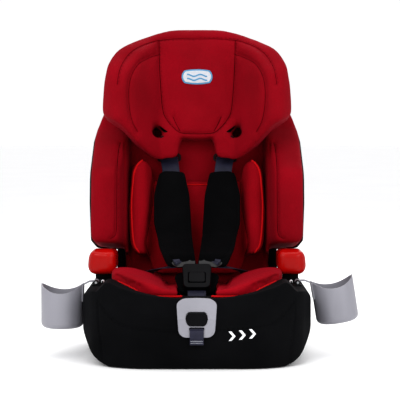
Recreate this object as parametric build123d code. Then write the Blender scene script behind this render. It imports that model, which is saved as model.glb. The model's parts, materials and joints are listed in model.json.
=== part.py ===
"""High-back child car seat with a five-point harness, a sliding headrest, two swing-out cup holders
and a pair of sliding anchor connectors.

Frame: +Z up, the seat faces -Y, and X = 0 is the middle plane. The origin is on the underside of
the base plate. Backrest, headrest and shoulder harness are drawn upright about the recline rod,
with the rod's axis as their X axis, and then leaned back by RECLINE.
"""
from build123d import *
import math
import os

# ---- Driving dimensions, in millimetres and degrees ------------------------------------------
GAP = 0.3                    # air between a skin and what it covers
RUN = 0.06                   # radial clearance of a pin in its bore

# Base
BASE_HALF_WIDTH = 233.0
BASE_FRONT = -215.0
BASE_REAR = 185.0
SHOULDER_Z = 148.0           # top of the sides
RIM_RISE = 33.0              # the seat's front corners stand this much above its middle
PAN_FRONT_Z = 138.0          # seat surface at the front lip
PAN_REAR_Z = 116.0           # and where it meets the backrest
PAN_HALF_WIDTH = 166.0
PAN_REAR_Y = 100.0
RECESS_FLOOR_Z = 70.0        # behind the pan, where the backrest hangs on its rod
COVER_T = 4.0                # padded fabric cover
SHELL_T = 3.0                # moulded wall
HEM_Z = 2.0                  # height of the seat cover's lower edge
HEM_REAR_Y = 150.0

BOTTOM_HALF_WIDTH = 146.0
BOTTOM_FRONT = -178.0
BOTTOM_REAR = 160.0
BOTTOM_T = 4.0
SCREW_BOSS_R = 7.0
SCREW_R = 2.0
GRIP_PAD_R = 14.0
GRIP_PAD_T = 2.0
SCREW_PLACES = [(BOTTOM_HALF_WIDTH - 28, BOTTOM_FRONT + 38), (BOTTOM_HALF_WIDTH - 28, BOTTOM_REAR - 40)]
GRIP_PLACES = [(BOTTOM_HALF_WIDTH - 22, BOTTOM_FRONT + 18), (BOTTOM_HALF_WIDTH - 22, BOTTOM_REAR - 20)]

# Recline rod
ROD_Y = 150.0
ROD_Z = 100.0
ROD_R = 5.0
ROD_HALF_LENGTH = PAN_HALF_WIDTH + 14
SIDE_BOSS_OUT = ROD_HALF_LENGTH + 2
RECLINE = 10.0               # lean of the backrest at rest
KNUCKLE_R = ROD_R + 6
LUG_X0, LUG_X1 = 40.0, 54.0

# Armrests and lap-belt guides
ARM_INNER = PAN_HALF_WIDTH + 16
ARM_OUTER = BASE_HALF_WIDTH - 17
ARM_FRONT = 20.0
ARM_REAR = 164.0
ARM_TOP_FRONT_Z = 212.0
ARM_TOP_REAR_Z = 188.0
GUIDE_INNER = ARM_INNER - 10
GUIDE_OUTER = ARM_OUTER + 11
GUIDE_FRONT = -26.0
GUIDE_REAR = 62.0
GUIDE_BOTTOM_Z = 168.0
GUIDE_TOP_Z = 217.0
SPIGOT_INSET = 5.0           # armrest nose, inside the guide

# Backrest, upright about the rod
BACK_HALF_WIDTH = BASE_HALF_WIDTH - 4
BACK_TOP = 470.0
BACK_COVER_HALF = BACK_HALF_WIDTH - 5
BACK_FOAM_FRONT = -38.0
BACK_PANEL_HALF = PAN_HALF_WIDTH - 8
WING_BOTTOM = 104.0
FLANK_BOTTOM = 60.0          # the shell's foot widens to the armrests above here
FOOT_FRONT = -48.0           # below the wings nothing reaches further forward
WING_FRONT = -166.0
WING_SHELL_FRONT = -150.0
WING_SLOPE_START = 250.0     # above here the wing's front edge falls back
WING_SLOPE_END = 370.0
WING_TOP_FRONT = -60.0
STRAP_SLOT_W = 305.0         # height of the harness slots above the rod
STRAP_SLOT_HALF_HEIGHT = 7.0
RAIL_X = 31.0                # middle of a headrest rail, and its screws
RAIL_HALF_WIDTH = 6.0
STEM_HALF_WIDTH = 30.0
STEM_BOTTOM = 250.0

RIB_PLACES = [BACK_PANEL_HALF - 54, BACK_PANEL_HALF - 12]
KNUCKLE_SPANS = [(LUG_X1 + 2.5, LUG_X1 + 30), (BACK_PANEL_HALF - 30, BACK_PANEL_HALF - 2)]
RAIL_SCREWS = [STEM_BOTTOM - 5, BACK_TOP - 30]

# Headrest
HEAD_HALF_WIDTH = BACK_HALF_WIDTH - 29
HEAD_TOP = 586.0
HEAD_BOTTOM = 293.0
HEAD_UNDERCUT = 322.0        # underside behind the lobes, clear of the harness
HEAD_REAR = -46.0
HEAD_FRONT = -92.0
HEAD_WING_FRONT = -192.0
HEAD_GAP_HALF = 41.0
HEAD_GAP_TOP = 342.0
HEAD_SHELL_T = 3.0
HANDLE_HALF = 38.0
HANDLE_PIN_W = 500.0
HANDLE_PIN_Y = HEAD_REAR + 5
HANDLE_PIN_R = 2.0

# Harness
WEB_T = 1.5
WEB_WIDTH = 38.0
STRAP_SLOT_HALF_WIDTH = WEB_WIDTH / 2 + 4
STRAP_SLOT_X = RAIL_X + RAIL_HALF_WIDTH + 2 + STRAP_SLOT_HALF_WIDTH
YOKE_W = 180.0               # top of the yoke plate, above the rod
CROTCH_SLOT_Y = -97.0
CROTCH_BAR_Z = 96.0
CROTCH_BAR_R = 3.5
PULL_SLOT_Z = 82.0
PULL_WEB_WIDTH = 27.0
PAD_T = 22.0
SLEEVE_GAP = 0.4

# Buckle, upright on its own centre and then tilted
BUCKLE_Y = -62.0
BUCKLE_Z = 161.0
BUCKLE_TILT = 50.0
BUCKLE_HALF_WIDTH = 31.0
BUCKLE_HALF_HEIGHT = 34.0
BUCKLE_HALF_DEPTH = 12.0
BUTTON_HALF_WIDTH = 17.0
BUTTON_TRAVEL = 4.0
EYE_X, EYE_REACH = 35.0, 49.5  # middle of a tongue's eye
EYE_HALF = (WEB_WIDTH - 8) / 2  # half the length of that eye
EYE_HALF_DRAWN = 15.0        # the eye's half length that the tongue's corners are drawn for

# Anchor connectors
ANCHOR_PITCH = 280.0
ANCHOR_BAR_R = 3.05
ARM_TUBE_WIDTH = 22.0
ARM_TUBE_HEIGHT = 26.0
CONNECTOR_Z = 45.0
JAW_FRONT = 190.0
JAW_REAR = 232.0
BAR_SEAT_Y = 214.0
GUIDE_WALL = 2.0
SLIDE_GAP = 0.6
TUBE_FRONT = -76.0
CROSS_Y = -60.0
CROSS_R = 8.0
SLIT_HALF = 3.2
HOOK_HALF_T = 2.6
HOOK_PIN_R = 2.5
COVER_WALL = 3.0
BUTTON_Y0, BUTTON_Y1 = 193.0, 207.0
BUTTON_HALF_X = 6.0
BUTTON_SLIDE = 6.0
HOOK_PIVOT_Y = 203.0
HOOK_PIVOT_Z = 53.0

# Cup holders
CUP_R = 44.0
CUP_WALL = 2.5
CUP_Y = -50.0
CUP_BOTTOM_Z = 60.0
CUP_RIM_Z = 134.0            # lowest point of the scooped rim
CUP_SCOOP_R = 62.0
CUP_SIDE_GAP = 2.0
CUP_PIN_X = BASE_HALF_WIDTH - 25
CUP_PIN_R = 2.5
CUP_KNUCKLE_R = 5.0
CUP_PIN_LIFT = 6.5           # pin above the base's shoulder
RIGHT_CUP_TILT = 9.0
CUP_X = BASE_HALF_WIDTH + CUP_SIDE_GAP + CUP_R
CUP_PIN_Z = SHOULDER_Z + CUP_PIN_LIFT
CUP_TOP_Z = 160.0

# Harness adjuster
PLATE_TOP_HALF = 40.0
PLATE_BOTTOM_HALF = 35.0
PLATE_TOP_Z = 139.0
PLATE_BOTTOM_Z = 64.0
PLATE_T = 4.0
PLATE_GAP = 1.0
KEY_HALF_WIDTH = 21.0
KEY_TOP_Z = 113.0
KEY_BOTTOM_Z = 87.0
KEY_GAP = 0.6
KEY_T = 5.0
ADJUSTER_HALF_WIDTH = 25.0
ROLL_Z = 100.0               # the base's front leans back above this height
ROLL_SLOPE = 0.423


# ---- Drawing helpers -------------------------------------------------------------------------
def outline(points, inset=0.0):
    """Closed face from (u, v) or (u, v, corner radius) points, drawn in by inset on every side."""
    count = len(points)
    edges = [(points[i], points[(i + 1) % count]) for i in range(count)]
    area = sum(a[0] * b[1] - b[0] * a[1] for a, b in edges) / 2
    inward = inset if area > 0 else -inset
    corners, turns = [], []
    for i, point in enumerate(points):
        (a, b), (c, d) = edges[i - 1], edges[i]
        before = math.atan2(b[1] - a[1], b[0] - a[0])
        turn = math.remainder(math.atan2(d[1] - c[1], d[0] - c[0]) - before, math.tau)
        middle = before + turn / 2
        reach = inward / math.cos(turn / 2)
        corners.append((point[0] - reach * math.sin(middle), point[1] + reach * math.cos(middle)))
        turns.append(turn)
    sides = [math.dist(corners[i - 1], corners[i]) for i in range(count)]
    radii = []
    for i, point in enumerate(points):
        radius = point[2] if len(point) > 2 and abs(turns[i]) > 0.03 else 0
        if radius:
            room = 0.48 * min(sides[i], sides[(i + 1) % count]) / math.tan(abs(turns[i]) / 2)
            radius = min(max(radius - inward * math.copysign(1, turns[i]), 0), room)
        radii.append(radius)
    return make_face(FilletPolyline(corners, radius=radii, close=True))


def mirrored(points):
    """A right half, drawn from the middle plane round to the middle plane, and its mirror image."""
    left = [(-p[0], *p[1:]) for p in reversed(points) if p[0] > 0]
    return points + left


def swept_x(face, x0, x1):
    """A face drawn in (y, z), from x0 to x1."""
    drawn = Plane(origin=(x0, 0, 0), x_dir=(0, 1, 0), z_dir=(1, 0, 0)) * face
    return extrude(drawn, amount=x1 - x0, dir=(1, 0, 0))


def swept_y(face, y0, y1):
    """A face drawn in (x, z), from y0 to y1."""
    drawn = Plane(origin=(0, y1, 0), x_dir=(1, 0, 0), z_dir=(0, -1, 0)) * face
    return extrude(drawn, amount=y1 - y0, dir=(0, -1, 0))


def swept_z(face, z0, z1):
    """A face drawn in (x, y), from z0 to z1."""
    return extrude(Plane(origin=(0, 0, z0)) * face, amount=z1 - z0, dir=(0, 0, 1))


def block(x0, x1, y0, y1, z0, z1):
    """A box from its limits."""
    return Pos((x0 + x1) / 2, (y0 + y1) / 2, (z0 + z1) / 2) * Box(x1 - x0, y1 - y0, z1 - z0)


def rod_x(radius, x0, x1, y, z):
    """A round bar along X."""
    return Pos((x0 + x1) / 2, y, z) * Rot(0, 90, 0) * Cylinder(radius, x1 - x0)


def rod_y(radius, x, y0, y1, z):
    """A round bar along Y."""
    return Pos(x, (y0 + y1) / 2, z) * Rot(90, 0, 0) * Cylinder(radius, y1 - y0)


def beside(path, distance):
    """An open path moved sideways, to its left for a positive distance, with mitred corners."""
    headings = [
        math.atan2(b[1] - a[1], b[0] - a[0]) for a, b in zip(path, path[1:])
    ]
    headings = [headings[0]] + headings + [headings[-1]]
    moved = []
    for point, before, after in zip(path, headings, headings[1:]):
        half_turn = (after - before) / 2
        middle = (before + after) / 2
        reach = distance / math.cos(half_turn)
        moved.append((point[0] - reach * math.sin(middle), point[1] + reach * math.cos(middle)))
    return moved


def band(path, thickness):
    """Closed face of even thickness centred on an open path."""
    one_side = beside(path, thickness / 2)
    other_side = beside(path, -thickness / 2)
    return outline(one_side + other_side[::-1])


def ribbon(stations, thickness):
    """Flat webbing through (centre, width direction, width) stations, in straight runs."""
    centres = [Vector(*s[0]) for s in stations]
    sections = []
    for i, (centre, (_, across, width)) in enumerate(zip(centres, stations)):
        ahead = centres[min(i + 1, len(centres) - 1)] - centre
        behind = centre - centres[max(i - 1, 0)]
        along = ahead.normalized() + behind.normalized() if 0 < i < len(centres) - 1 else ahead + behind
        across = Vector(*across)
        across = across - along.normalized() * across.dot(along.normalized())
        plane = Plane(origin=centre, x_dir=across, z_dir=along)
        sections.append(plane * Rectangle(width, thickness))
    return loft(sections, ruled=True)


def leaned(shape):
    """Puts a piece that was drawn upright about the recline rod in its place."""
    return Pos(0, ROD_Y, ROD_Z) * Rot(-RECLINE, 0, 0) * shape


def buckle_placed(shape):
    """Puts a piece that was drawn upright about the buckle's centre in its place."""
    return Pos(0, BUCKLE_Y, BUCKLE_Z) * Rot(-BUCKLE_TILT, 0, 0) * shape


def both_sides(shape):
    """A piece and its mirror image across the middle plane, as two solids."""
    return Compound(children=[shape, mirror(shape, about=Plane.YZ)])


def left_of(shape):
    """The mirror image across the middle plane."""
    return mirror(shape, about=Plane.YZ)


# ---- Base ------------------------------------------------------------------------------------
def thigh_rim(inset):
    """Raised right front corner of the seat, beside and before the cushion's lobe."""
    low, edge = PAN_FRONT_Z, PAN_HALF_WIDTH
    across = outline([
        (46, 96), (46, low - 1), (72, low + 2, 40), (edge - 50, low + 9, 60), (edge - 8, low + 22, 50),
        (edge + 12, low + RIM_RISE, 12), (edge + 34, SHOULDER_Z - 1), (edge + 34, 96),
    ], inset)
    plan = outline([
        (46, BASE_FRONT), (edge + 34, BASE_FRONT), (edge + 34, -70), (edge + 14.5, -70), (edge + 14.5, -82, 6),
        (edge + 6.5, -87, 34), (edge - 45, -148.3, 48), (84, -173.6, 48), (46, -173.6),
    ], inset)
    along = outline([
        (BASE_FRONT + 4, 96), (BASE_FRONT + 19, SHOULDER_Z - 4), (BASE_FRONT + 31, low + RIM_RISE + 6, 16),
        (-122, low + RIM_RISE + 4, 40), (-70, SHOULDER_Z - 3), (-70, 96),
    ], inset)
    rim = swept_y(across, BASE_FRONT - 10, 0) & swept_z(plan, 80, low + RIM_RISE + 20)
    return rim & swept_x(along, 0, BASE_HALF_WIDTH)


def base_form(inset):
    """The base's outer shape, drawn in by inset on every side."""
    across = mirrored([
        (0, 0), (BASE_HALF_WIDTH - 37, 0, 70), (BASE_HALF_WIDTH + 4, 64, 90),
        (BASE_HALF_WIDTH - 2, SHOULDER_Z, 26),
        (0, SHOULDER_Z),
    ])
    plan = mirrored([
        (60, BASE_FRONT, 400), (140, BASE_FRONT + 8, 150), (BASE_HALF_WIDTH - 27, BASE_FRONT + 45, 70),
        (BASE_HALF_WIDTH, BASE_FRONT + 120, 60), (BASE_HALF_WIDTH, BASE_REAR - 40, 30),
        (BASE_HALF_WIDTH - 26, BASE_REAR, 24),
    ])
    profile = [
        (BASE_FRONT + 4, 0, 8), (BASE_FRONT - 2, 40, 60), (BASE_FRONT - 2, 96, 50),
        (BASE_FRONT + 20, SHOULDER_Z, 16), (BASE_REAR + 2, SHOULDER_Z, 15), (BASE_REAR + 2, 0, 8),
    ]
    form = swept_y(outline(across, inset), BASE_FRONT - 10, BASE_REAR + 10)
    form = form & swept_z(outline(plan, inset), -10, SHOULDER_Z + 10)
    form = form & swept_x(outline(profile, inset), -BASE_HALF_WIDTH - 10, BASE_HALF_WIDTH + 10)
    dish = outline([
        (BASE_FRONT - 20, PAN_FRONT_Z - inset), (BASE_FRONT + 20, PAN_FRONT_Z - inset, 40),
        (PAN_REAR_Y, PAN_REAR_Z - inset), (PAN_REAR_Y, SHOULDER_Z + 20), (BASE_FRONT - 20, SHOULDER_Z + 20),
    ])
    half = PAN_HALF_WIDTH + inset
    recess = block(-half, half, PAN_REAR_Y - inset, BASE_REAR + 10, RECESS_FLOOR_Z - inset, SHOULDER_Z + 20)
    rim = thigh_rim(inset) & swept_z(outline(plan, inset), 0, 300)
    return form - swept_x(dish, -half, half) - recess + rim + left_of(rim)


def bottom_outline(inset):
    """Outline of the opening under the base, in plan."""
    return outline(mirrored([
        (0, BOTTOM_FRONT + inset), (BOTTOM_HALF_WIDTH - inset, BOTTOM_FRONT + inset, 20),
        (BOTTOM_HALF_WIDTH - inset, BOTTOM_REAR - inset, 20), (0, BOTTOM_REAR - inset),
    ]))


def lug_face(radius, foot_half, foot_z):
    """A hinge lug in (y, z): a round head on the rod's axis and a foot."""
    foot = outline([
        (ROD_Y - foot_half, foot_z), (ROD_Y + foot_half, foot_z),
        (ROD_Y + radius, ROD_Z), (ROD_Y - radius, ROD_Z),
    ])
    return foot + Pos(ROD_Y, ROD_Z) * Circle(radius)


def base_shell():
    """Moulded base: walls, seat pan, screw bosses and the lugs that carry the recline rod."""
    outer_inset = COVER_T + GAP
    shell = base_form(outer_inset) + swept_z(bottom_outline(-6), 0, outer_inset + SHELL_T)
    shell = shell & base_form(0)
    inner = base_form(outer_inset + SHELL_T)
    shell = shell - inner
    recess_half = PAN_HALF_WIDTH + outer_inset
    lug = swept_x(lug_face(KNUCKLE_R, 18, RECESS_FLOOR_Z - outer_inset - 1), LUG_X0, LUG_X1)
    boss = rod_x(KNUCKLE_R, recess_half, SIDE_BOSS_OUT, ROD_Y, ROD_Z)
    for piece in (lug, boss):
        shell = shell + piece + left_of(piece)
    for x, y in SCREW_PLACES:
        post = Pos(x, y, 0) * Cylinder(SCREW_BOSS_R, 24, align=(Align.CENTER, Align.CENTER, Align.MIN))
        rib = block(x, BOTTOM_HALF_WIDTH + 12, y - 2, y + 2, BOTTOM_T + GAP, 24)
        shell = shell + post + left_of(post) + rib + left_of(rib)
    shell = shell - swept_z(bottom_outline(0), -1, BOTTOM_T + GAP)
    shell = shell - rod_x(ROD_R + RUN, -ROD_HALF_LENGTH, ROD_HALF_LENGTH, ROD_Y, ROD_Z)
    for x, y in SCREW_PLACES:
        hole = Pos(x, y, 0) * Cylinder(SCREW_R, 18, align=(Align.CENTER, Align.CENTER, Align.MIN))
        shell = shell - hole - left_of(hole)
    tunnel = connector_tunnel(ARM_TUBE_WIDTH / 2 + GUIDE_WALL + 1.6, ARM_TUBE_HEIGHT / 2 + GUIDE_WALL + 1.6)
    shell = shell - tunnel - left_of(tunnel)
    shell = shell - crotch_slot(6, WEB_WIDTH / 2 + 7) - adjuster_window(GAP) - pull_slot()
    return shell


def connector_tunnel(half_width, half_height):
    """Way through the base's rear wall for one connector arm."""
    x = ANCHOR_PITCH / 2
    return block(x - half_width, x + half_width, BASE_REAR - 20, BASE_REAR + 5,
                 CONNECTOR_Z - half_height, CONNECTOR_Z + half_height)


def crotch_slot(half_depth, half_width):
    """Slot through the seat pan for the crotch strap."""
    return block(-half_width, half_width, CROTCH_SLOT_Y - half_depth, CROTCH_SLOT_Y + half_depth, 60, 200)


def adjuster_window(margin):
    """Hole in the base's front for the adjuster's body."""
    half = ADJUSTER_HALF_WIDTH + margin
    return block(-half, half, BASE_FRONT - 20, BASE_FRONT + 30, 74 - margin, 118 + margin)


def pull_slot():
    """Slot in the recess wall where the pull strap leaves the base for the backrest."""
    half = PULL_WEB_WIDTH / 2 + 3
    return block(-half, half, PAN_REAR_Y - 12, PAN_REAR_Y + 1, PULL_SLOT_Z - 5, PULL_SLOT_Z + 5)


def base_bottom():
    """Flat plate that closes the base, with seats for the grip pads and the screws."""
    plate = swept_z(bottom_outline(GAP), 0, BOTTOM_T)
    for x, y in GRIP_PLACES:
        seat = Pos(x, y, 0) * Cylinder(GRIP_PAD_R, GRIP_PAD_T, align=(Align.CENTER, Align.CENTER, Align.MIN))
        plate = plate - seat - left_of(seat)
    for x, y in SCREW_PLACES:
        hole = Pos(x, y, 0) * Cylinder(SCREW_R + 0.3, BOTTOM_T, align=(Align.CENTER, Align.CENTER, Align.MIN))
        head = Pos(x, y, 0) * Cylinder(4.3, 2.2, align=(Align.CENTER, Align.CENTER, Align.MIN))
        plate = plate - hole - head - left_of(hole) - left_of(head)
    return plate


def grip_pads():
    """Four rubber discs let into the bottom plate."""
    pads = []
    for x, y in GRIP_PLACES:
        pad = Cylinder(GRIP_PAD_R - 0.1, GRIP_PAD_T, align=(Align.CENTER, Align.CENTER, Align.MIN))
        pad = Pos(x, y, 0) * pad
        pads += [pad, left_of(pad)]
    return Compound(children=pads)


def base_screws():
    """Four countersunk screws that hold the bottom plate."""
    screws = []
    for x, y in SCREW_PLACES:
        shank = Pos(x, y, 0.2) * Cylinder(SCREW_R - 0.05, 16, align=(Align.CENTER, Align.CENTER, Align.MIN))
        head = Pos(x, y, 0.2) * Cylinder(4.0, 1.9, align=(Align.CENTER, Align.CENTER, Align.MIN))
        drive = Pos(x, y, 0.2) * Box(1.0, 5.0, 1.6)
        screw = shank + head - drive
        screws += [screw, left_of(screw)]
    return Compound(children=screws)


def seat_cover():
    """Padded fabric over the front, sides and seat pan of the base."""
    cover = base_form(0) - base_form(COVER_T)
    cover = cover - block(-300, 300, -300, 300, -5, HEM_Z) - swept_z(bottom_outline(-10), -5, COVER_T + 1)
    cover = cover - block(-300, 300, HEM_REAR_Y, 300, -5, 300)
    half = PAN_HALF_WIDTH + COVER_T + 1
    cover = cover - block(-half, half, PAN_REAR_Y - COVER_T - 0.01, 300, -5, 300)
    cover = cover - crotch_slot(5, WEB_WIDTH / 2 + 5) - adjuster_window(0.5)
    arm = block(ARM_INNER - 1, ARM_OUTER + 1, ARM_FRONT - 1, 300, SHOULDER_Z - 20, 300)
    return cover - arm - left_of(arm)


def arm_profile(inset):
    """Armrest in (y, z), without its foot."""
    return outline([
        (ARM_FRONT, SHOULDER_Z - COVER_T), (ARM_FRONT, ARM_TOP_FRONT_Z, 14), (ARM_REAR, ARM_TOP_REAR_Z, 18),
        (ARM_REAR + 8, SHOULDER_Z - COVER_T, 6),
    ])


def armrest():
    """Right armrest: a black pillar and rail that stand on the base's shoulder."""
    arm = swept_x(arm_profile(0), ARM_INNER, ARM_OUTER)
    nose_zone = block(ARM_INNER - 5, ARM_OUTER + 5, ARM_FRONT - 5, GUIDE_REAR + GAP, GUIDE_BOTTOM_Z - GAP, 300)
    spigot = block(ARM_INNER + SPIGOT_INSET, ARM_OUTER - SPIGOT_INSET, ARM_FRONT, GUIDE_REAR + 5,
                   GUIDE_BOTTOM_Z + 6, GUIDE_TOP_Z - 9)
    return arm - nose_zone + spigot


def lap_belt_guide():
    """Right lap-belt guide: rounded red nose cap pushed over the armrest's spigot."""
    face = outline([
        (GUIDE_INNER, GUIDE_BOTTOM_Z, 14), (GUIDE_OUTER, GUIDE_BOTTOM_Z, 18),
        (GUIDE_OUTER, GUIDE_TOP_Z, 18), (GUIDE_INNER, GUIDE_TOP_Z, 14),
    ])
    side = outline([
        (GUIDE_FRONT, GUIDE_BOTTOM_Z, 12), (GUIDE_REAR, GUIDE_BOTTOM_Z), (GUIDE_REAR, GUIDE_TOP_Z - 5),
        (GUIDE_FRONT + 20, GUIDE_TOP_Z, 30), (GUIDE_FRONT, GUIDE_TOP_Z - 8, 10),
    ])
    plan = outline([
        (GUIDE_INNER, GUIDE_FRONT, 14), (GUIDE_OUTER, GUIDE_FRONT + 2, 20), (GUIDE_OUTER, GUIDE_REAR),
        (GUIDE_INNER, GUIDE_REAR),
    ])
    guide = swept_y(face, GUIDE_FRONT, GUIDE_REAR) & swept_x(side, GUIDE_INNER, GUIDE_OUTER)
    guide = guide & swept_z(plan, GUIDE_BOTTOM_Z, GUIDE_TOP_Z)
    socket = block(ARM_INNER + SPIGOT_INSET - GAP, ARM_OUTER - SPIGOT_INSET + GAP, ARM_FRONT - GAP, GUIDE_REAR + 1,
                   GUIDE_BOTTOM_Z + 6 - GAP, GUIDE_TOP_Z - 9 + GAP)
    return guide - socket


def recline_rod():
    """Steel rod that the backrest turns on."""
    length = ROD_HALF_LENGTH - 0.5
    return rod_x(ROD_R, -length, length, ROD_Y, ROD_Z)


def seat_insert():
    """Red seat cushion with a raised thigh lobe each side of the crotch notch."""
    edge = PAN_HALF_WIDTH
    pad = swept_x(outline([
        (-150, 90), (-150, PAN_FRONT_Z + 12, 8), (88, PAN_REAR_Z + 20, 8), (88, 90),
    ]), 70 - edge, edge - 70)
    lobe_plan = outline([
        (30, -170, 8), (84, -172, 50), (edge - 44, -146, 50), (edge + 8, -84, 34), (edge + 12, 14, 34),
        (edge - 28, 70, 30),
        (66, 84), (66, -70), (48, -120, 20), (30, -146, 8),
    ])
    lobe_front = outline([
        (28, 90), (28, 149), (64, 152, 30), (122, 172), (edge - 14, 182, 20), (edge + 6, 177, 10),
        (edge + 15, 160, 6), (edge + 15, 90),
    ])
    lobe_side = outline([
        (-180, 90), (-180, 146, 8), (-150, 168, 30), (-70, 185, 40), (-10, 176, 60), (50, 148, 60),
        (90, 140), (90, 90),
    ])
    lobe = swept_z(lobe_plan, 90, 200) & swept_y(lobe_front, -220, 120) & swept_x(lobe_side, 0, edge + 34)
    insert = pad + lobe + left_of(lobe)
    notch = swept_z(outline([
        (-37, -220), (37, -220), (42, -60, 10), (42, -40, 10), (-42, -40, 10), (-42, -60, 10),
    ]), 80, 220)
    return insert - base_form(-GAP) - notch


# ---- Harness adjuster ------------------------------------------------------------------------
def front_skin(front_gap, thickness):
    """Slab that follows the base's front face, front_gap proud of the cover."""
    y = BASE_FRONT - front_gap
    top = PLATE_TOP_Z + 4
    path = [(y, PLATE_BOTTOM_Z - 10), (y, ROLL_Z), (y + ROLL_SLOPE * (top - ROLL_Z), top)]
    return swept_x(outline(beside(path, thickness) + path[::-1]), -60, 60)


def key_outline(margin):
    """Outline of the adjuster's release key, in (x, z)."""
    half = KEY_HALF_WIDTH + margin
    return outline(mirrored([
        (0, KEY_BOTTOM_Z - margin), (half - 4, KEY_BOTTOM_Z - margin, 9),
        (half, (KEY_TOP_Z + KEY_BOTTOM_Z) / 2, 14),
        (half - 3, KEY_TOP_Z + margin, 8), (0, KEY_TOP_Z + margin),
    ]))


def adjuster_plate():
    """Grey surround on the seat's front, with windows for the key and the pull strap."""
    face = outline(mirrored([
        (0, PLATE_BOTTOM_Z), (PLATE_BOTTOM_HALF, PLATE_BOTTOM_Z, 16), (PLATE_TOP_HALF, PLATE_TOP_Z - 8, 12),
        (PLATE_TOP_HALF - 14, PLATE_TOP_Z, 20), (0, PLATE_TOP_Z + 1),
    ]))
    plate = front_skin(PLATE_GAP, PLATE_T) & swept_y(face, BASE_FRONT - 20, BASE_FRONT + 40)
    plate = plate - swept_y(key_outline(KEY_GAP), BASE_FRONT - 20, BASE_FRONT + 40)
    half = PULL_WEB_WIDTH / 2 + 1
    return plate - block(-half, half, BASE_FRONT - 20, BASE_FRONT + 20, 78.5, 84)


def adjuster_key():
    """Black release key, hinged along its rolled upper edge."""
    front = BASE_FRONT - PLATE_GAP - PLATE_T - 2
    roll = KEY_T / 2
    key = swept_y(key_outline(0), front, front + KEY_T)
    key = key - block(-60, 60, front - 1, front + KEY_T + 1, KEY_TOP_Z - roll, KEY_TOP_Z + 1)
    key = key + rod_x(roll, 4 - KEY_HALF_WIDTH, KEY_HALF_WIDTH - 4, front + roll, KEY_TOP_Z - roll)
    stem = block(-6, 6, front + KEY_T - 1, BASE_FRONT + 10, KEY_BOTTOM_Z + 7, KEY_TOP_Z - 5)
    return key + stem


def adjuster_body():
    """Steel frame behind the plate that the pull strap runs through."""
    y0, y1 = BASE_FRONT + 9, BASE_FRONT + 38
    half = ADJUSTER_HALF_WIDTH - 0.5
    frame = block(-half, half, y0, y1, 75, 117) - block(-half + 2, half - 2, y0 - 1, y1 + 1, 77.2, 115)
    roller = rod_x(4, -half + 1, half - 1, BASE_FRONT + 22, 108)
    return frame + roller


def pull_strap():
    """Navy webbing: from under the pan, out below the key, and down over the plate."""
    y = BASE_FRONT - PLATE_GAP - PLATE_T - 1.4
    path = [
        (PAN_REAR_Y - 6, PULL_SLOT_Z), (-60, PULL_SLOT_Z + 1), (BASE_FRONT + 8, 81.2), (y, 80.5), (y - 0.6, 51),
    ]
    half = PULL_WEB_WIDTH / 2
    strap = swept_x(band(path, WEB_T), -half, half)
    fold = block(-half - 0.2, half + 0.2, y - 4.2, y + 0.9, 50, 60)
    return strap + fold


# ---- Buckle and lower harness ----------------------------------------------------------------
def buckle_housing():
    """Black buckle body with a well for the button and a mouth for each tongue."""
    face = outline(mirrored([
        (0, -BUCKLE_HALF_HEIGHT), (BUCKLE_HALF_WIDTH - 4, -BUCKLE_HALF_HEIGHT, 12),
        (BUCKLE_HALF_WIDTH, BUCKLE_HALF_HEIGHT, 10), (0, BUCKLE_HALF_HEIGHT),
    ]))
    body = swept_y(face, -BUCKLE_HALF_DEPTH, BUCKLE_HALF_DEPTH)
    well = BUTTON_HALF_WIDTH + 0.5
    body = body - block(-well, well, -BUCKLE_HALF_DEPTH - 1, -3, -20.5, 8.5)
    mouth = block(3.5, 24.5, -2.2, 2.2, 12, BUCKLE_HALF_HEIGHT + 1)
    half = WEB_WIDTH / 2 + 1
    crotch = block(-half, half, -2.5, 2.5, -BUCKLE_HALF_HEIGHT - 1, -26)
    return buckle_placed(body - mouth - left_of(mouth) - crotch)


def buckle_button():
    """Release button, pressed straight into the buckle's face."""
    face = outline(mirrored([
        (0, -20), (BUTTON_HALF_WIDTH, -20, 5), (BUTTON_HALF_WIDTH, 8, 5), (0, 8),
    ]))
    return buckle_placed(swept_y(face, -BUCKLE_HALF_DEPTH - 1.5, -3.5 - BUTTON_TRAVEL))


def tongue():
    """Right tongue: a steel blade in the buckle and an eye that the webbing passes through."""
    more = EYE_HALF - EYE_HALF_DRAWN
    right, down = 0.731 * more, 0.682 * more
    face = outline([
        (4, 13), (23.5, 13), (23.5, 36), (40 + right, 33 - down, 4), (55 + right, 45 - down, 5),
        (33 - right, 66 + down, 5), (4, 52 + 1.3 * down, 4),
    ])
    eye = Pos(EYE_X, EYE_REACH) * Rot(0, 0, -43) * Rectangle(2 * EYE_HALF, 6)
    return buckle_placed(swept_y(face - eye, -1.5, 1.5))


def crotch_strap():
    """Webbing from the anchor bar under the pan up into the buckle."""
    slope = math.radians(BUCKLE_TILT)

    def under_buckle(reach):
        return (0, BUCKLE_Y - reach * math.sin(slope), BUCKLE_Z - reach * math.cos(slope))

    across = (1, 0, 0)
    return ribbon([
        (under_buckle(BUCKLE_HALF_HEIGHT - 7), across, WEB_WIDTH),
        (under_buckle(BUCKLE_HALF_HEIGHT + 5), across, WEB_WIDTH),
        ((0, CROTCH_SLOT_Y, 126), across, WEB_WIDTH),
        ((0, CROTCH_SLOT_Y, CROTCH_BAR_Z + CROTCH_BAR_R), across, WEB_WIDTH),
    ], WEB_T)


def crotch_anchor():
    """Steel bar across the slot, below the pan, that keeps the crotch strap in."""
    return rod_x(CROTCH_BAR_R, -34, 34, CROTCH_SLOT_Y, CROTCH_BAR_Z)


def crotch_pad():
    """Black pad behind the buckle, wider at its top than the buckle is."""
    face = outline(mirrored([(0, -24), (29, -24, 10), (39, 30, 12), (0, 34)]))
    depth = BUCKLE_HALF_DEPTH + GAP
    return buckle_placed(swept_y(face, depth, depth + 7))


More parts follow.
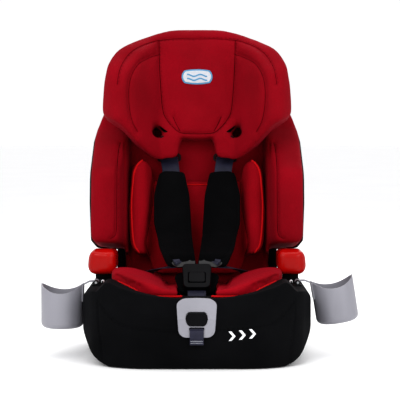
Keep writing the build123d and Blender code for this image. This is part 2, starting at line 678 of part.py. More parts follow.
def lap_strap():
    """Right lap webbing, from the tongue's eye to the crease of the seat."""
    slope = math.radians(BUCKLE_TILT)
    behind = 8
    eye_y = BUCKLE_Y + EYE_REACH * math.sin(slope) + behind * math.cos(slope)
    eye_z = BUCKLE_Z + EYE_REACH * math.cos(slope) - behind * math.sin(slope)
    return ribbon([
        ((EYE_X, eye_y, eye_z), (0.73, -0.52, -0.44), WEB_WIDTH - 10),
        ((72, 6, 178), (0.8, -0.6, -0.1), WEB_WIDTH - 4),
        ((104, 50, 162), (0.85, -0.5, 0), WEB_WIDTH - 4), ((116, 90, 150), (1, 0, 0), WEB_WIDTH - 4),
    ], WEB_T)


# ---- Cup holders -----------------------------------------------------------------------------
def cup_body():
    """Right cup: a round cup with a scooped rim, and the arm that hangs it on its pin."""
    tall = CUP_TOP_Z - CUP_BOTTOM_Z
    low = (Align.CENTER, Align.CENTER, Align.MIN)
    cup = Pos(CUP_X, CUP_Y, CUP_BOTTOM_Z) * fillet(Cylinder(CUP_R, tall, align=low).edges().sort_by(Axis.Z)[0], 12)
    hollow = Cylinder(CUP_R - CUP_WALL, tall, align=low)
    hollow = Pos(CUP_X, CUP_Y, CUP_BOTTOM_Z + CUP_WALL) * fillet(hollow.edges().sort_by(Axis.Z)[0], 10)
    reach = CUP_R + 16
    scoop = rod_y(CUP_SCOOP_R, CUP_X, CUP_Y - reach, CUP_Y + reach, CUP_RIM_Z + CUP_SCOOP_R)
    edge = CUP_X - CUP_R
    arm_path = [
        (CUP_PIN_X, CUP_PIN_Z + 2), (edge - 12, CUP_PIN_Z + 1), (edge + 1, CUP_PIN_Z - 6),
        (edge + 1.6, CUP_PIN_Z - 40),
    ]
    arm = swept_y(band(arm_path, 3), CUP_Y - 7, CUP_Y + 7)
    root = swept_y(band(arm_path[2:], 3), CUP_Y - 16, CUP_Y + 16)
    knuckle = rod_y(CUP_KNUCKLE_R, CUP_PIN_X, CUP_Y - 7, CUP_Y + 7, CUP_PIN_Z)
    holder = cup - scoop - hollow + (arm + root - hollow) + knuckle
    return holder - rod_y(CUP_PIN_R + RUN, CUP_PIN_X, CUP_Y - 20, CUP_Y + 20, CUP_PIN_Z)


def tilted_cup(shape, degrees):
    """A cup turned about its pin."""
    at_pin = Pos(CUP_PIN_X, CUP_Y, CUP_PIN_Z)
    return at_pin * Rot(0, -degrees, 0) * at_pin.inverse() * shape


def cup_bracket():
    """Right bracket on the base's shoulder: foot, two lugs for the pin, and an upturned tip."""
    foot = block(CUP_PIN_X - 14, CUP_PIN_X + 8, CUP_Y - 19, CUP_Y + 19, SHOULDER_Z + GAP, SHOULDER_Z + 1.6)
    tip = block(CUP_PIN_X - 14, CUP_PIN_X - 11.5, CUP_Y - 10, CUP_Y + 10, SHOULDER_Z + GAP, SHOULDER_Z + 9)
    bracket = foot + tip
    for y0, y1 in ((CUP_Y - 19, CUP_Y - 8), (CUP_Y + 8, CUP_Y + 19)):
        lug = rod_y(CUP_KNUCKLE_R, CUP_PIN_X, y0, y1, CUP_PIN_Z)
        web = block(CUP_PIN_X - CUP_KNUCKLE_R, CUP_PIN_X + CUP_KNUCKLE_R, y0, y1, SHOULDER_Z + GAP, CUP_PIN_Z)
        bracket = bracket + lug + web
    clear = rod_y(CUP_KNUCKLE_R + 0.5, CUP_PIN_X, CUP_Y - 8, CUP_Y + 8, CUP_PIN_Z)
    return bracket - clear - rod_y(CUP_PIN_R + 0.01, CUP_PIN_X, CUP_Y - 30, CUP_Y + 30, CUP_PIN_Z)


def cup_pin():
    """Right cup holder's pin."""
    return rod_y(CUP_PIN_R, CUP_PIN_X, CUP_Y - 19.5, CUP_Y + 19.5, CUP_PIN_Z)


# ---- Anchor connectors -----------------------------------------------------------------------
def anchor_guides():
    """Two steel channels in the base, open towards the middle, that the arms slide in."""
    half_w = ARM_TUBE_WIDTH / 2 + SLIDE_GAP
    half_h = ARM_TUBE_HEIGHT / 2 + SLIDE_GAP
    x = ANCHOR_PITCH / 2
    outer = block(x - half_w, x + half_w + GUIDE_WALL, -84, BASE_REAR - 8,
                  CONNECTOR_Z - half_h - GUIDE_WALL, CONNECTOR_Z + half_h + GUIDE_WALL)
    inner = block(x - half_w - 5, x + half_w, -90, BASE_REAR, CONNECTOR_Z - half_h, CONNECTOR_Z + half_h)
    return both_sides(outer - inner)


def anchor_arm():
    """Right arm of the slide: a square tube with a jaw for the vehicle's bar, slit for its hook."""
    x = ANCHOR_PITCH / 2
    half_w, half_h = ARM_TUBE_WIDTH / 2, ARM_TUBE_HEIGHT / 2
    low, high = CONNECTOR_Z - half_h, CONNECTOR_Z + half_h
    tube = block(x - half_w, x + half_w, TUBE_FRONT, JAW_FRONT, low, high)
    bore = block(x - half_w + 2, x + half_w - 2, TUBE_FRONT - 1, JAW_FRONT - 6, low + 2, high - 2)
    jaw = block(x - 10, x + 10, JAW_FRONT - 1, JAW_REAR, low, high)
    jaw = jaw - block(x - SLIT_HALF, x + SLIT_HALF, JAW_FRONT + 4, JAW_REAR + 1,
                      CONNECTOR_Z + ANCHOR_BAR_R - 0.5, high + 1)
    mouth = block(x - 20, x + 20, BAR_SEAT_Y, JAW_REAR + 1,
                  CONNECTOR_Z - ANCHOR_BAR_R, CONNECTOR_Z + ANCHOR_BAR_R)
    mouth = mouth + rod_x(ANCHOR_BAR_R, x - 20, x + 20, BAR_SEAT_Y, CONNECTOR_Z)
    pin_hole = rod_x(HOOK_PIN_R + 0.01, x - 20, x + 20, HOOK_PIVOT_Y, HOOK_PIVOT_Z)
    return (tube - bore) + (jaw - mouth - pin_hole)


def cross_tube():
    """Round tube that joins the two arms of the slide."""
    reach = ANCHOR_PITCH / 2 - ARM_TUBE_WIDTH / 2 - 0.02
    tube = rod_x(CROSS_R, -reach, reach, CROSS_Y, CONNECTOR_Z)
    return tube - rod_x(CROSS_R - 2, -reach, reach, CROSS_Y, CONNECTOR_Z)


def hook_pins():
    """The two pins that the hooks turn on."""
    x = ANCHOR_PITCH / 2
    return both_sides(rod_x(HOOK_PIN_R, x - 9.8, x + 9.8, HOOK_PIVOT_Y, HOOK_PIVOT_Z))


def anchor_hook():
    """Right hook: turns down behind the vehicle's bar."""
    x = ANCHOR_PITCH / 2
    face = outline([
        (197, 50.5, 2), (207, 49.5, 2), (210, 52, 1.5), (218, 52, 1), (219.5, 49.6, 0.8), (226, 49.6, 1),
        (228, 56.5, 3), (197, 55.5, 2),
    ])
    hook = swept_x(face, x - HOOK_HALF_T, x + HOOK_HALF_T)
    return hook - rod_x(HOOK_PIN_R + RUN, x - 5, x + 5, HOOK_PIVOT_Y, HOOK_PIVOT_Z)


def anchor_covers():
    """Plastic housings over the jaws, slotted for the bar and open on top for the button."""
    x = ANCHOR_PITCH / 2
    half_h = ARM_TUBE_HEIGHT / 2
    out_w, out_h = 10 + COVER_WALL + GAP, half_h + COVER_WALL + GAP
    face = outline([
        (x - out_w, CONNECTOR_Z - out_h, 4), (x + out_w, CONNECTOR_Z - out_h, 4),
        (x + out_w, CONNECTOR_Z + out_h, 4), (x - out_w, CONNECTOR_Z + out_h, 4),
    ])
    body = swept_y(face, JAW_FRONT + 1, JAW_REAR - 1)
    body = body - block(x - 10 - GAP, x + 10 + GAP, JAW_FRONT, JAW_REAR,
                        CONNECTOR_Z - half_h - GAP, CONNECTOR_Z + half_h + GAP)
    body = body - block(x - 20, x + 20, BAR_SEAT_Y - 7, JAW_REAR, CONNECTOR_Z - 6, CONNECTOR_Z + 6)
    gap = BUTTON_HALF_X + 0.5
    body = body - block(x - gap, x + gap, BUTTON_Y0 - 0.5, BUTTON_Y1 + BUTTON_SLIDE + 0.5,
                        CONNECTOR_Z, CONNECTOR_Z + out_h + 1)
    return both_sides(body)


def anchor_button():
    """Right release button, on top of its housing."""
    x = ANCHOR_PITCH / 2
    bottom = CONNECTOR_Z + ARM_TUBE_HEIGHT / 2 + 0.3
    face = outline([
        (BUTTON_Y0, bottom), (BUTTON_Y1, bottom), (BUTTON_Y1, bottom + 6, 2), (BUTTON_Y0, bottom + 6, 2),
    ])
    return swept_x(face, x - BUTTON_HALF_X, x + BUTTON_HALF_X)


# ---- Backrest, upright about the rod ---------------------------------------------------------
def back_front_view(half_width, inset, flank=0):
    """Backrest outline in (x, z): narrow foot between the armrests, wide wings, rounded top.

    Above the base's shoulder the foot is wider by flank."""
    foot = BACK_PANEL_HALF - inset
    return outline(mirrored([
        (0, -14 + inset), (foot, -14 + inset, 6), (foot, FLANK_BOTTOM), (foot + flank, FLANK_BOTTOM + 2),
        (foot + flank, WING_BOTTOM + inset),
        (half_width - 4, WING_BOTTOM + inset, 9), (half_width, 190, 120), (half_width, 322, 60),
        (half_width - 7, 364, 40), (half_width - 22, 404, 20), (130, BACK_TOP - inset, 90), (0, BACK_TOP - inset),
    ]))


def back_side_view(wing_front, top_front):
    """Backrest depth in (y, z): the wings' front edge falls back towards the top."""
    return outline([
        (30, -40), (30, BACK_TOP + 10), (top_front, BACK_TOP + 10), (top_front, WING_SLOPE_END, 30),
        (wing_front, WING_SLOPE_START, 60), (wing_front, WING_BOTTOM - 8, 24), (FOOT_FRONT, WING_BOTTOM - 18),
        (FOOT_FRONT, -40),
    ])


def shell_path(half_width, front):
    """Right half of the back shell's mid-line, in plan, from the middle to the wing's edge."""
    return [(0, 2), (BACK_PANEL_HALF + 2, 2), (half_width - 33, -8), (half_width - 3, -40), (half_width, front)]


def back_section(outer, front):
    """Back shell in plan: an even wall along the mid-line."""
    half = shell_path(outer, front)
    full = [(-x, y) for x, y in reversed(half[1:])] + half
    return band(full, 4.0)


def strap_slots(half_width, half_height):
    """Through-slots for the shoulder straps."""
    slot = block(STRAP_SLOT_X - half_width, STRAP_SLOT_X + half_width, -120, 20,
                 STRAP_SLOT_W - half_height, STRAP_SLOT_W + half_height)
    return slot + left_of(slot)


def backrest_shell():
    """Moulded back: panel, wings, hinge knuckles and the ribs on its rear face."""
    section = back_section(BACK_HALF_WIDTH - 2, WING_SHELL_FRONT)
    shell = swept_z(section, -20, BACK_TOP + 5)
    shell = shell & swept_y(back_front_view(BACK_HALF_WIDTH, 0, ARM_INNER - 4 - BACK_PANEL_HALF), -260, 60)
    reach = BACK_HALF_WIDTH + 31
    shell = shell & swept_x(back_side_view(WING_SHELL_FRONT - 1, WING_TOP_FRONT + 14), -reach, reach)
    for x in RIB_PLACES:
        rib = swept_x(outline([
            (3.5, 20), (3.5, BACK_TOP - 30), (12, BACK_TOP - 50, 10), (16, 60, 20), (8, 20),
        ]), x - 2, x + 2)
        shell = shell + rib + left_of(rib)
    for x0, x1 in KNUCKLE_SPANS:
        knuckle = rod_x(KNUCKLE_R, x0, x1, 0, 0) + block(x0, x1, 0, 4, 0, 16)
        shell = shell + knuckle + left_of(knuckle)
    shell = shell - rod_x(ROD_R + RUN, -reach, reach, 0, 0)
    shell = shell - block(-LUG_X1 - 2, LUG_X1 + 2, -30, 30, -30, 16)
    shell = shell - strap_slots(STRAP_SLOT_HALF_WIDTH, STRAP_SLOT_HALF_HEIGHT)
    pull = PULL_WEB_WIDTH / 2 + 4
    shell = shell - block(-pull, pull, -30, 30, -30, 26)
    for y in RAIL_SCREWS:
        hole = Pos(RAIL_X, 0, y) * Rot(90, 0, 0) * Cylinder(1.7, 60)
        shell = shell - hole - left_of(hole)
    return leaned(shell)


def back_cover():
    """Padded red cover: the back panel's front and both side wings."""
    rear = beside(shell_path(BACK_HALF_WIDTH - 2, WING_SHELL_FRONT), -2 - GAP)
    front = [
        (BACK_COVER_HALF, WING_SHELL_FRONT), (BACK_COVER_HALF, -158, 8), (BACK_COVER_HALF - 20, WING_FRONT, 16),
        (BACK_COVER_HALF - 54, WING_FRONT + 10, 16), (BACK_PANEL_HALF - 6, -76, 40),
        (BACK_PANEL_HALF - 8, BACK_FOAM_FRONT, 3), (0, BACK_FOAM_FRONT),
    ]
    section = outline(mirrored(rear[:-1] + front))
    cover = swept_z(section, KNUCKLE_R + 3, BACK_TOP)
    cover = cover & swept_y(back_front_view(BACK_COVER_HALF + 2, 3), -260, 60)
    reach = BACK_HALF_WIDTH + 31
    cover = cover & swept_x(back_side_view(WING_FRONT - 2, WING_TOP_FRONT), -reach, reach)
    cover = cover - strap_slots(STRAP_SLOT_HALF_WIDTH, STRAP_SLOT_HALF_HEIGHT)
    cover = cover - stem_room()
    return leaned(cover)


def stem_room():
    """Space behind the foam for the headrest's stem and its two rails, and the slot it reaches out by."""
    hollow = block(-46, 46, -15.5, 5, STEM_BOTTOM - 14, BACK_TOP + 5)
    slot = block(-14, 14, -60, 5, HEAD_GAP_TOP + 30, BACK_TOP + 5)
    return hollow + slot


def headrest_rails():
    """Two grooved rails on the panel that hold the stem."""
    x0, x1 = RAIL_X - RAIL_HALF_WIDTH, RAIL_X + RAIL_HALF_WIDTH
    rail = block(x0, x1, -14.5, -0.6, STEM_BOTTOM - 10, BACK_TOP - 8)
    groove = block(x0 - 4, STEM_HALF_WIDTH + 0.5, -10.5, -5.5, STEM_BOTTOM - 11, BACK_TOP)
    return leaned(both_sides(rail - groove))


def rack_plate():
    """Toothed plate between the rails, with one notch for each headrest height."""
    notches = [block(-4, 4, -6, 2, z - 3, z + 3) for z in range(290, int(BACK_TOP) - 20, 20)]
    plate = block(-9, 9, -3.6, -0.6, STEM_BOTTOM - 5, BACK_TOP - 8)
    for notch in notches:
        plate = plate - notch
    return leaned(plate)


def torso_insert():
    """Red torso cushion: a thin back pad with a rounded bolster down each side."""
    rear = BACK_FOAM_FRONT - GAP
    edge = BACK_PANEL_HALF - 11
    section = outline(mirrored([
        (0, rear), (edge - 2, rear, 3), (edge, -84, 20), (edge - 13, -100, 12), (edge - 33, -94, 16),
        (edge - 49, -56, 20), (0, -54),
    ]))
    front = outline(mirrored([
        (0, 48), (edge - 55, 48, 20), (edge - 43, 84, 16), (edge - 15, 90, 16), (edge - 4, 110, 40),
        (edge, 180, 60),
        (edge - 7, 270, 40), (edge - 25, 292, 14), (edge - 43, 284, 14), (edge - 50, 250), (0, 250),
    ]))
    return leaned(swept_z(section, 20, 300) & swept_y(front, -110, 0))


def slot_bezel():
    """Right bezel: a thin plastic frame that lines one shoulder-strap slot."""
    w, h = STRAP_SLOT_HALF_WIDTH, STRAP_SLOT_HALF_HEIGHT
    x = STRAP_SLOT_X
    low, high = STRAP_SLOT_W - h, STRAP_SLOT_W + h
    flange = block(x - w - 3, x + w + 3, BACK_FOAM_FRONT - 2.3, BACK_FOAM_FRONT - GAP, low - 3, high + 3)
    tube = block(x - w + 0.2, x + w - 0.2, BACK_FOAM_FRONT - 1, -1, low + 0.2, high - 0.2)
    hole = block(x - w + 1.8, x + w - 1.8, -60, 10, low + 1.8, high - 1.8)
    return leaned(flange + tube - hole)


def shoulder_route():
    """Centres and widths of the right shoulder strap, from the yoke through the slot to the tongue."""
    across = (1, 0, 0)
    x = STRAP_SLOT_X
    return [
        ((26, 15, YOKE_W + 10), (1, 0, 0.25), WEB_WIDTH - 4), ((x - 10, 12, STRAP_SLOT_W - 14), across, WEB_WIDTH),
        ((x, 4, STRAP_SLOT_W - 1), across, WEB_WIDTH), ((x, -46, STRAP_SLOT_W - 1), across, WEB_WIDTH),
        ((x - 1, -64, STRAP_SLOT_W - 14), across, WEB_WIDTH), ((x - 5, -76, 264), across, WEB_WIDTH),
        ((x - 8, -88, 184), (1, 0, 0.05), WEB_WIDTH), ((x - 12, -110, 122), (1, 0, 0.2), WEB_WIDTH),
        ((36, -150, 86), (1, 0, 0.4), WEB_WIDTH), ((36, -172, 75), (0.73, -0.436, -0.524), WEB_WIDTH - 10),
    ]


def shoulder_strap():
    """Right shoulder webbing."""
    return leaned(ribbon(shoulder_route(), WEB_T))


def shoulder_pad():
    """Right shoulder pad: a soft black sleeve round the webbing."""
    path = [(-75, 270), (-88, 184), (-110, 122), (-146, 88), (-158, 82)]
    side = swept_x(band(path, PAD_T), 0, 120)
    face = outline([
        (28, 266, 6), (82, 268, 12), (94, 215, 40), (93, 150, 40), (80, 104, 30), (54, 60, 10), (8, 60, 8),
        (13, 150, 30), (17, 215, 30),
    ])
    pad = side & swept_y(face, -260, 0)
    return leaned(pad - ribbon(sleeve_route(), WEB_T + 2 * SLEEVE_GAP))


def sleeve_route():
    """The strap's route inside the pad, with room each side."""
    return [(c, a, w + 2 * SLEEVE_GAP) for c, a, w in shoulder_route()[4:]]


def yoke_plate():
    """Steel plate behind the backrest that joins both shoulder straps to the pull strap."""
    face = outline(mirrored([
        (0, YOKE_W - 34), (18, YOKE_W - 34, 5), (24, YOKE_W - 14, 6), (50, YOKE_W + 2, 6), (50, YOKE_W + 8, 3),
        (0, YOKE_W + 8),
    ]))
    plate = swept_y(face, 11, 13.5)
    slot = block(-15, 15, 8, 16, YOKE_W - 29, YOKE_W - 24)
    return leaned(plate - slot)


def rear_pull_strap():
    """Navy webbing from the backrest's foot up to the yoke."""
    half = PULL_WEB_WIDTH / 2
    path = [(9.5, -10), (9.5, 60), (9.5, YOKE_W - 24)]
    return leaned(swept_x(band(path, WEB_T), -half, half))


# ---- Headrest, upright about the rod ---------------------------------------------------------
def head_front_view(inset):
    """Headrest outline in (x, z): domed top, full cheeks, and two lobes below."""
    h = HEAD_HALF_WIDTH - inset
    top = HEAD_TOP - inset
    return outline(mirrored([
        (0, HEAD_GAP_TOP + inset), (HEAD_GAP_HALF + inset, HEAD_GAP_TOP + inset, 4),
        (HEAD_GAP_HALF + inset, HEAD_BOTTOM + 6 + inset, 12), (88, HEAD_BOTTOM + inset, 30),
        (132, 326 + inset, 40), (162, 358 + inset, 40), (h, 378 + inset, 14), (h - 2, 440, 150),
        (h - 12, 492, 100), (h - 32, 528, 95), (132, 552, 110), (94, top - 14, 150), (48, top, 150), (0, top),
    ]))


def head_side_view():
    """Headrest depth in (y, z)."""
    return outline([
        (-20, HEAD_UNDERCUT), (-20, HEAD_TOP + 10), (-58, HEAD_TOP + 10), (-60, HEAD_TOP, 6),
        (-80, HEAD_TOP - 2, 14),
        (-104, 558, 40), (-146, 526, 50), (HEAD_WING_FRONT - 2, 462, 60), (HEAD_WING_FRONT - 2, 372, 40),
        (-160, 324, 40), (-128, HEAD_BOTTOM - 10, 10), (-92, HEAD_BOTTOM - 10), (-78, HEAD_UNDERCUT, 10),
    ])


def head_rear_path():
    """Right half of the headrest shell's rear face, in plan."""
    half = HEAD_HALF_WIDTH
    return [(0, HEAD_REAR), (98, HEAD_REAR), (148, -78), (half - 16, -92), (half - 6, -110)]


def belt_notch(margin):
    """The shoulder-belt guide's opening in (x, z), grown by margin: a slit from the middle gap to a hole."""
    m = margin
    hole = outline([
        (70 - m, 350 - m, 2), (84, 339 - m, 3), (98 + m, 345 - m, 3), (97 + m, 366 + m, 3), (88, 370 + m, 2),
    ])
    x0 = HEAD_GAP_HALF - 20
    slit = outline([(x0, 332 - m), (78, 346 - m), (78, 354 + m), (x0, 340 + m)])
    return hole, slit


def notch_cut(margin):
    """Both belt notches, cut front to back."""
    hole, slit = belt_notch(margin)
    cut = swept_y(hole, -260, 0) + swept_y(slit, -260, 0)
    return cut + left_of(cut)


def headrest_shell():
    """Moulded shell behind the headrest, with the stem's boss and the handle's pocket."""
    path = head_rear_path()
    face = outline(mirrored(path + beside(path, HEAD_SHELL_T * -1)[::-1]))
    shell = swept_z(face, HEAD_UNDERCUT, HEAD_TOP) & swept_y(head_front_view(6), -260, 0)
    boss = block(-12, 12, HEAD_REAR - 1, -11, HEAD_GAP_TOP + 40, 452)
    boss = boss - block(-30, 30, -11.2, 0, 300, 500)
    shell = shell + boss
    low, high = HANDLE_PIN_W - 6, HANDLE_PIN_W + 6
    lug = swept_x(outline([
        (HEAD_REAR - 1, low), (HEAD_REAR + 10, low, 5), (HEAD_REAR + 10, high, 5), (HEAD_REAR - 1, high),
    ]), HANDLE_HALF + 1, HANDLE_HALF + 6)
    shell = shell + lug + left_of(lug)
    shell = shell - rod_x(HANDLE_PIN_R + 0.01, -60, 60, HANDLE_PIN_Y, HANDLE_PIN_W)
    return leaned(shell - notch_cut(3.2))


def headrest_cover():
    """Padded red cover: centre panel, two deep cheeks and the lobes over the belt guides."""
    path = head_rear_path()
    rear = beside(path, -(HEAD_SHELL_T + GAP))
    front = [
        (HEAD_HALF_WIDTH, -118, 10), (HEAD_HALF_WIDTH, -160, 24), (HEAD_HALF_WIDTH - 18, HEAD_WING_FRONT + 4, 20),
        (158, HEAD_WING_FRONT, 20), (138, -176, 20), (80, HEAD_FRONT - 2, 24), (0, HEAD_FRONT),
    ]
    face = outline(mirrored(rear + front))
    cover = swept_z(face, HEAD_BOTTOM, HEAD_TOP) & swept_y(head_front_view(0), -260, 0)
    cover = cover & swept_x(head_side_view(), -HEAD_HALF_WIDTH - 60, HEAD_HALF_WIDTH + 60)
    return leaned(cover - notch_cut(3.2))


def shoulder_belt_guide():
    """Right shoulder-belt guide: a plastic liner in the headrest's notch."""
    hole, slit = belt_notch(0)
    hole_out, slit_out = belt_notch(3)
    keep = swept_y(outline([(58, 300), (140, 300), (140, 400), (58, 400)]), -120, -50)
    liner = (swept_y(hole_out, -112, -54) + swept_y(slit_out, -112, -54)) & keep
    return leaned(liner - swept_y(hole, -200, 0) - swept_y(slit, -200, 0))


def headrest_stem():
    """Steel plate on the headrest's boss that runs in the backrest's rails."""
    plate = block(-STEM_HALF_WIDTH, STEM_HALF_WIDTH, -10, -6, STEM_BOTTOM + 20, 448)
    window = swept_y(outline([(-8, 300), (8, 300), (8, 372), (-8, 372)]), -20, 0)
    return leaned(plate - window)


def headrest_handle():
    """Pull handle on the back of the headrest, hinged on a cross pin."""
    grip = swept_x(outline([
        (HEAD_REAR + 1.5, HANDLE_PIN_W - 8, 2), (HEAD_REAR + 8, HANDLE_PIN_W - 6, 3),
        (HEAD_REAR + 9, HANDLE_PIN_W + 30, 3), (HEAD_REAR + 13, HANDLE_PIN_W + 56, 4),
        (HEAD_REAR + 8, HANDLE_PIN_W + 58, 3), (HEAD_REAR + 3, HANDLE_PIN_W + 30, 3),
    ]), -HANDLE_HALF, HANDLE_HALF)
    knuckle = rod_x(4.4, -HANDLE_HALF, HANDLE_HALF, HANDLE_PIN_Y, HANDLE_PIN_W)
    return leaned(grip + knuckle - rod_x(HANDLE_PIN_R + RUN, -60, 60, HANDLE_PIN_Y, HANDLE_PIN_W))


def handle_pin():
    """Cross pin of the headrest handle."""
    return leaned(rod_x(HANDLE_PIN_R, -HANDLE_HALF - 5.5, HANDLE_HALF + 5.5, HANDLE_PIN_Y, HANDLE_PIN_W))


# ---- All the pieces --------------------------------------------------------------------------
def all_pieces():
    """Node name to shape."""
    right_cup = tilted_cup(cup_body(), RIGHT_CUP_TILT)
    pieces = {
        "base_shell": base_shell(),
        "base_bottom": base_bottom(),
        "grip_pads": grip_pads(),
        "base_screws": base_screws(),
        "seat_cover": seat_cover(),
        "seat_insert": seat_insert(),
        "recline_rod": recline_rod(),
        "adjuster_plate": adjuster_plate(),
        "adjuster_body": adjuster_body(),
        "adjuster_key": adjuster_key(),
        "pull_strap": pull_strap(),
        "buckle_housing": buckle_housing(),
        "buckle_button": buckle_button(),
        "crotch_strap": crotch_strap(),
        "crotch_anchor": crotch_anchor(),
        "crotch_pad": crotch_pad(),
        "cup_holder_right": right_cup,
        "cup_holder_left": left_of(cup_body()),
        "cup_brackets": both_sides(cup_bracket()),
        "cup_pins": both_sides(cup_pin()),
        "anchor_guides": anchor_guides(),
        "cross_tube": cross_tube(),
        "hook_pins": hook_pins(),
        "anchor_covers": anchor_covers(),
        "backrest_shell": backrest_shell(),
        "back_cover": back_cover(),
        "headrest_rails": headrest_rails(),
        "rack_plate": rack_plate(),
        "torso_insert": torso_insert(),
        "yoke_plate": yoke_plate(),
        "rear_pull_strap": rear_pull_strap(),
        "headrest_shell": headrest_shell(),
        "headrest_cover": headrest_cover(),
        "headrest_stem": headrest_stem(),
        "headrest_handle": headrest_handle(),
        "handle_pin": handle_pin(),
    }
    paired = {
        "armrest": armrest(), "lap_belt_guide": lap_belt_guide(), "tongue": tongue(), "lap_strap": lap_strap(),
        "anchor_arm": anchor_arm(), "anchor_hook": anchor_hook(), "anchor_button": anchor_button(),
        "slot_bezel": slot_bezel(),
        "shoulder_strap": shoulder_strap(), "shoulder_pad": shoulder_pad(),
        "shoulder_belt_guide": shoulder_belt_guide(),
    }
    for name, shape in paired.items():
        pieces[name + "_right"] = shape
        pieces[name + "_left"] = left_of(shape)
    return pieces


def main():
    os.makedirs("parts", exist_ok=True)
    for name, shape in all_pieces().items():
        export_step(shape, f"parts/{name}.step")


main()
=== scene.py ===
"""Looks of a high-back child car seat: padded covers, webbing, moulded plastic and studio light.

All lengths are in metres. X runs across the seat, -Y is the way it faces and Z is up. The backrest
and headrest are worked out in the backrest's own directions: x across, depth (towards the rear) and
rise (up along the backrest), both from the recline rod.
"""
import bpy
import bmesh
import json
import math
import numpy as np
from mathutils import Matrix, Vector, noise
from mathutils.bvhtree import BVHTree
from mathutils.kdtree import KDTree


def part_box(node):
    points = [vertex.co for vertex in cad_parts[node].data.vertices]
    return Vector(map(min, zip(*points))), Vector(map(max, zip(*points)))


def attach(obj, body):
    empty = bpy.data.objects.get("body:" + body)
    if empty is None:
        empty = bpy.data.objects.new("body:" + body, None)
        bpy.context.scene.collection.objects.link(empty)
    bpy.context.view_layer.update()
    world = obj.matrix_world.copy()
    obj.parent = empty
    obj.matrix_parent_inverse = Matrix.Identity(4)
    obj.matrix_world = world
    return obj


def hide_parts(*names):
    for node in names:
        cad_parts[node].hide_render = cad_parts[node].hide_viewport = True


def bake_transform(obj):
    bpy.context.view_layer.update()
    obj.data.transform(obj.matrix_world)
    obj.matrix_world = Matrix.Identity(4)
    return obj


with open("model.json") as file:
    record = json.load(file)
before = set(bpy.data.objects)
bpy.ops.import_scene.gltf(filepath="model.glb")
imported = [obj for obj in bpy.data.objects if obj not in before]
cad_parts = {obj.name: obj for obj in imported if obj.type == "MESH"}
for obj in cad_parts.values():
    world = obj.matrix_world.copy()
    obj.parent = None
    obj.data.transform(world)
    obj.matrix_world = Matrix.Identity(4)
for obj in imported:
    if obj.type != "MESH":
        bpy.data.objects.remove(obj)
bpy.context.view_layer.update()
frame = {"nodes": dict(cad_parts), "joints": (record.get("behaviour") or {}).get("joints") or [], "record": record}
MM = 0.001
SCENE = bpy.context.scene
SCENE.view_settings.view_transform = "Standard"
SCENE.view_settings.look = "Medium High Contrast"
JOINTS = {joint["name"]: joint for joint in frame["joints"]}

# The backrest's own frame, from its two joints
HINGE = Vector(JOINTS["backrest_recline"]["pos_m"])
RISE = Vector(JOINTS["headrest_height"]["axis"]).normalized()
DEPTH = Vector((0, RISE.z, -RISE.y))


def on_back(x, depth, rise):
    """A point given in the backrest's millimetres, in the row frame."""
    return HINGE + Vector((x, 0, 0)) * MM + DEPTH * depth * MM + RISE * rise * MM


def mirrored(points):
    """Points of a right half, from the middle outwards, with their mirror images before them."""
    return [(-p[0], *p[1:]) for p in reversed(points) if p[0] > 0] + list(points)


# ---- Materials -------------------------------------------------------------------------------
WAVE_PERIOD = 0.314     # how far apart a wave texture's bands are at a scale of 1


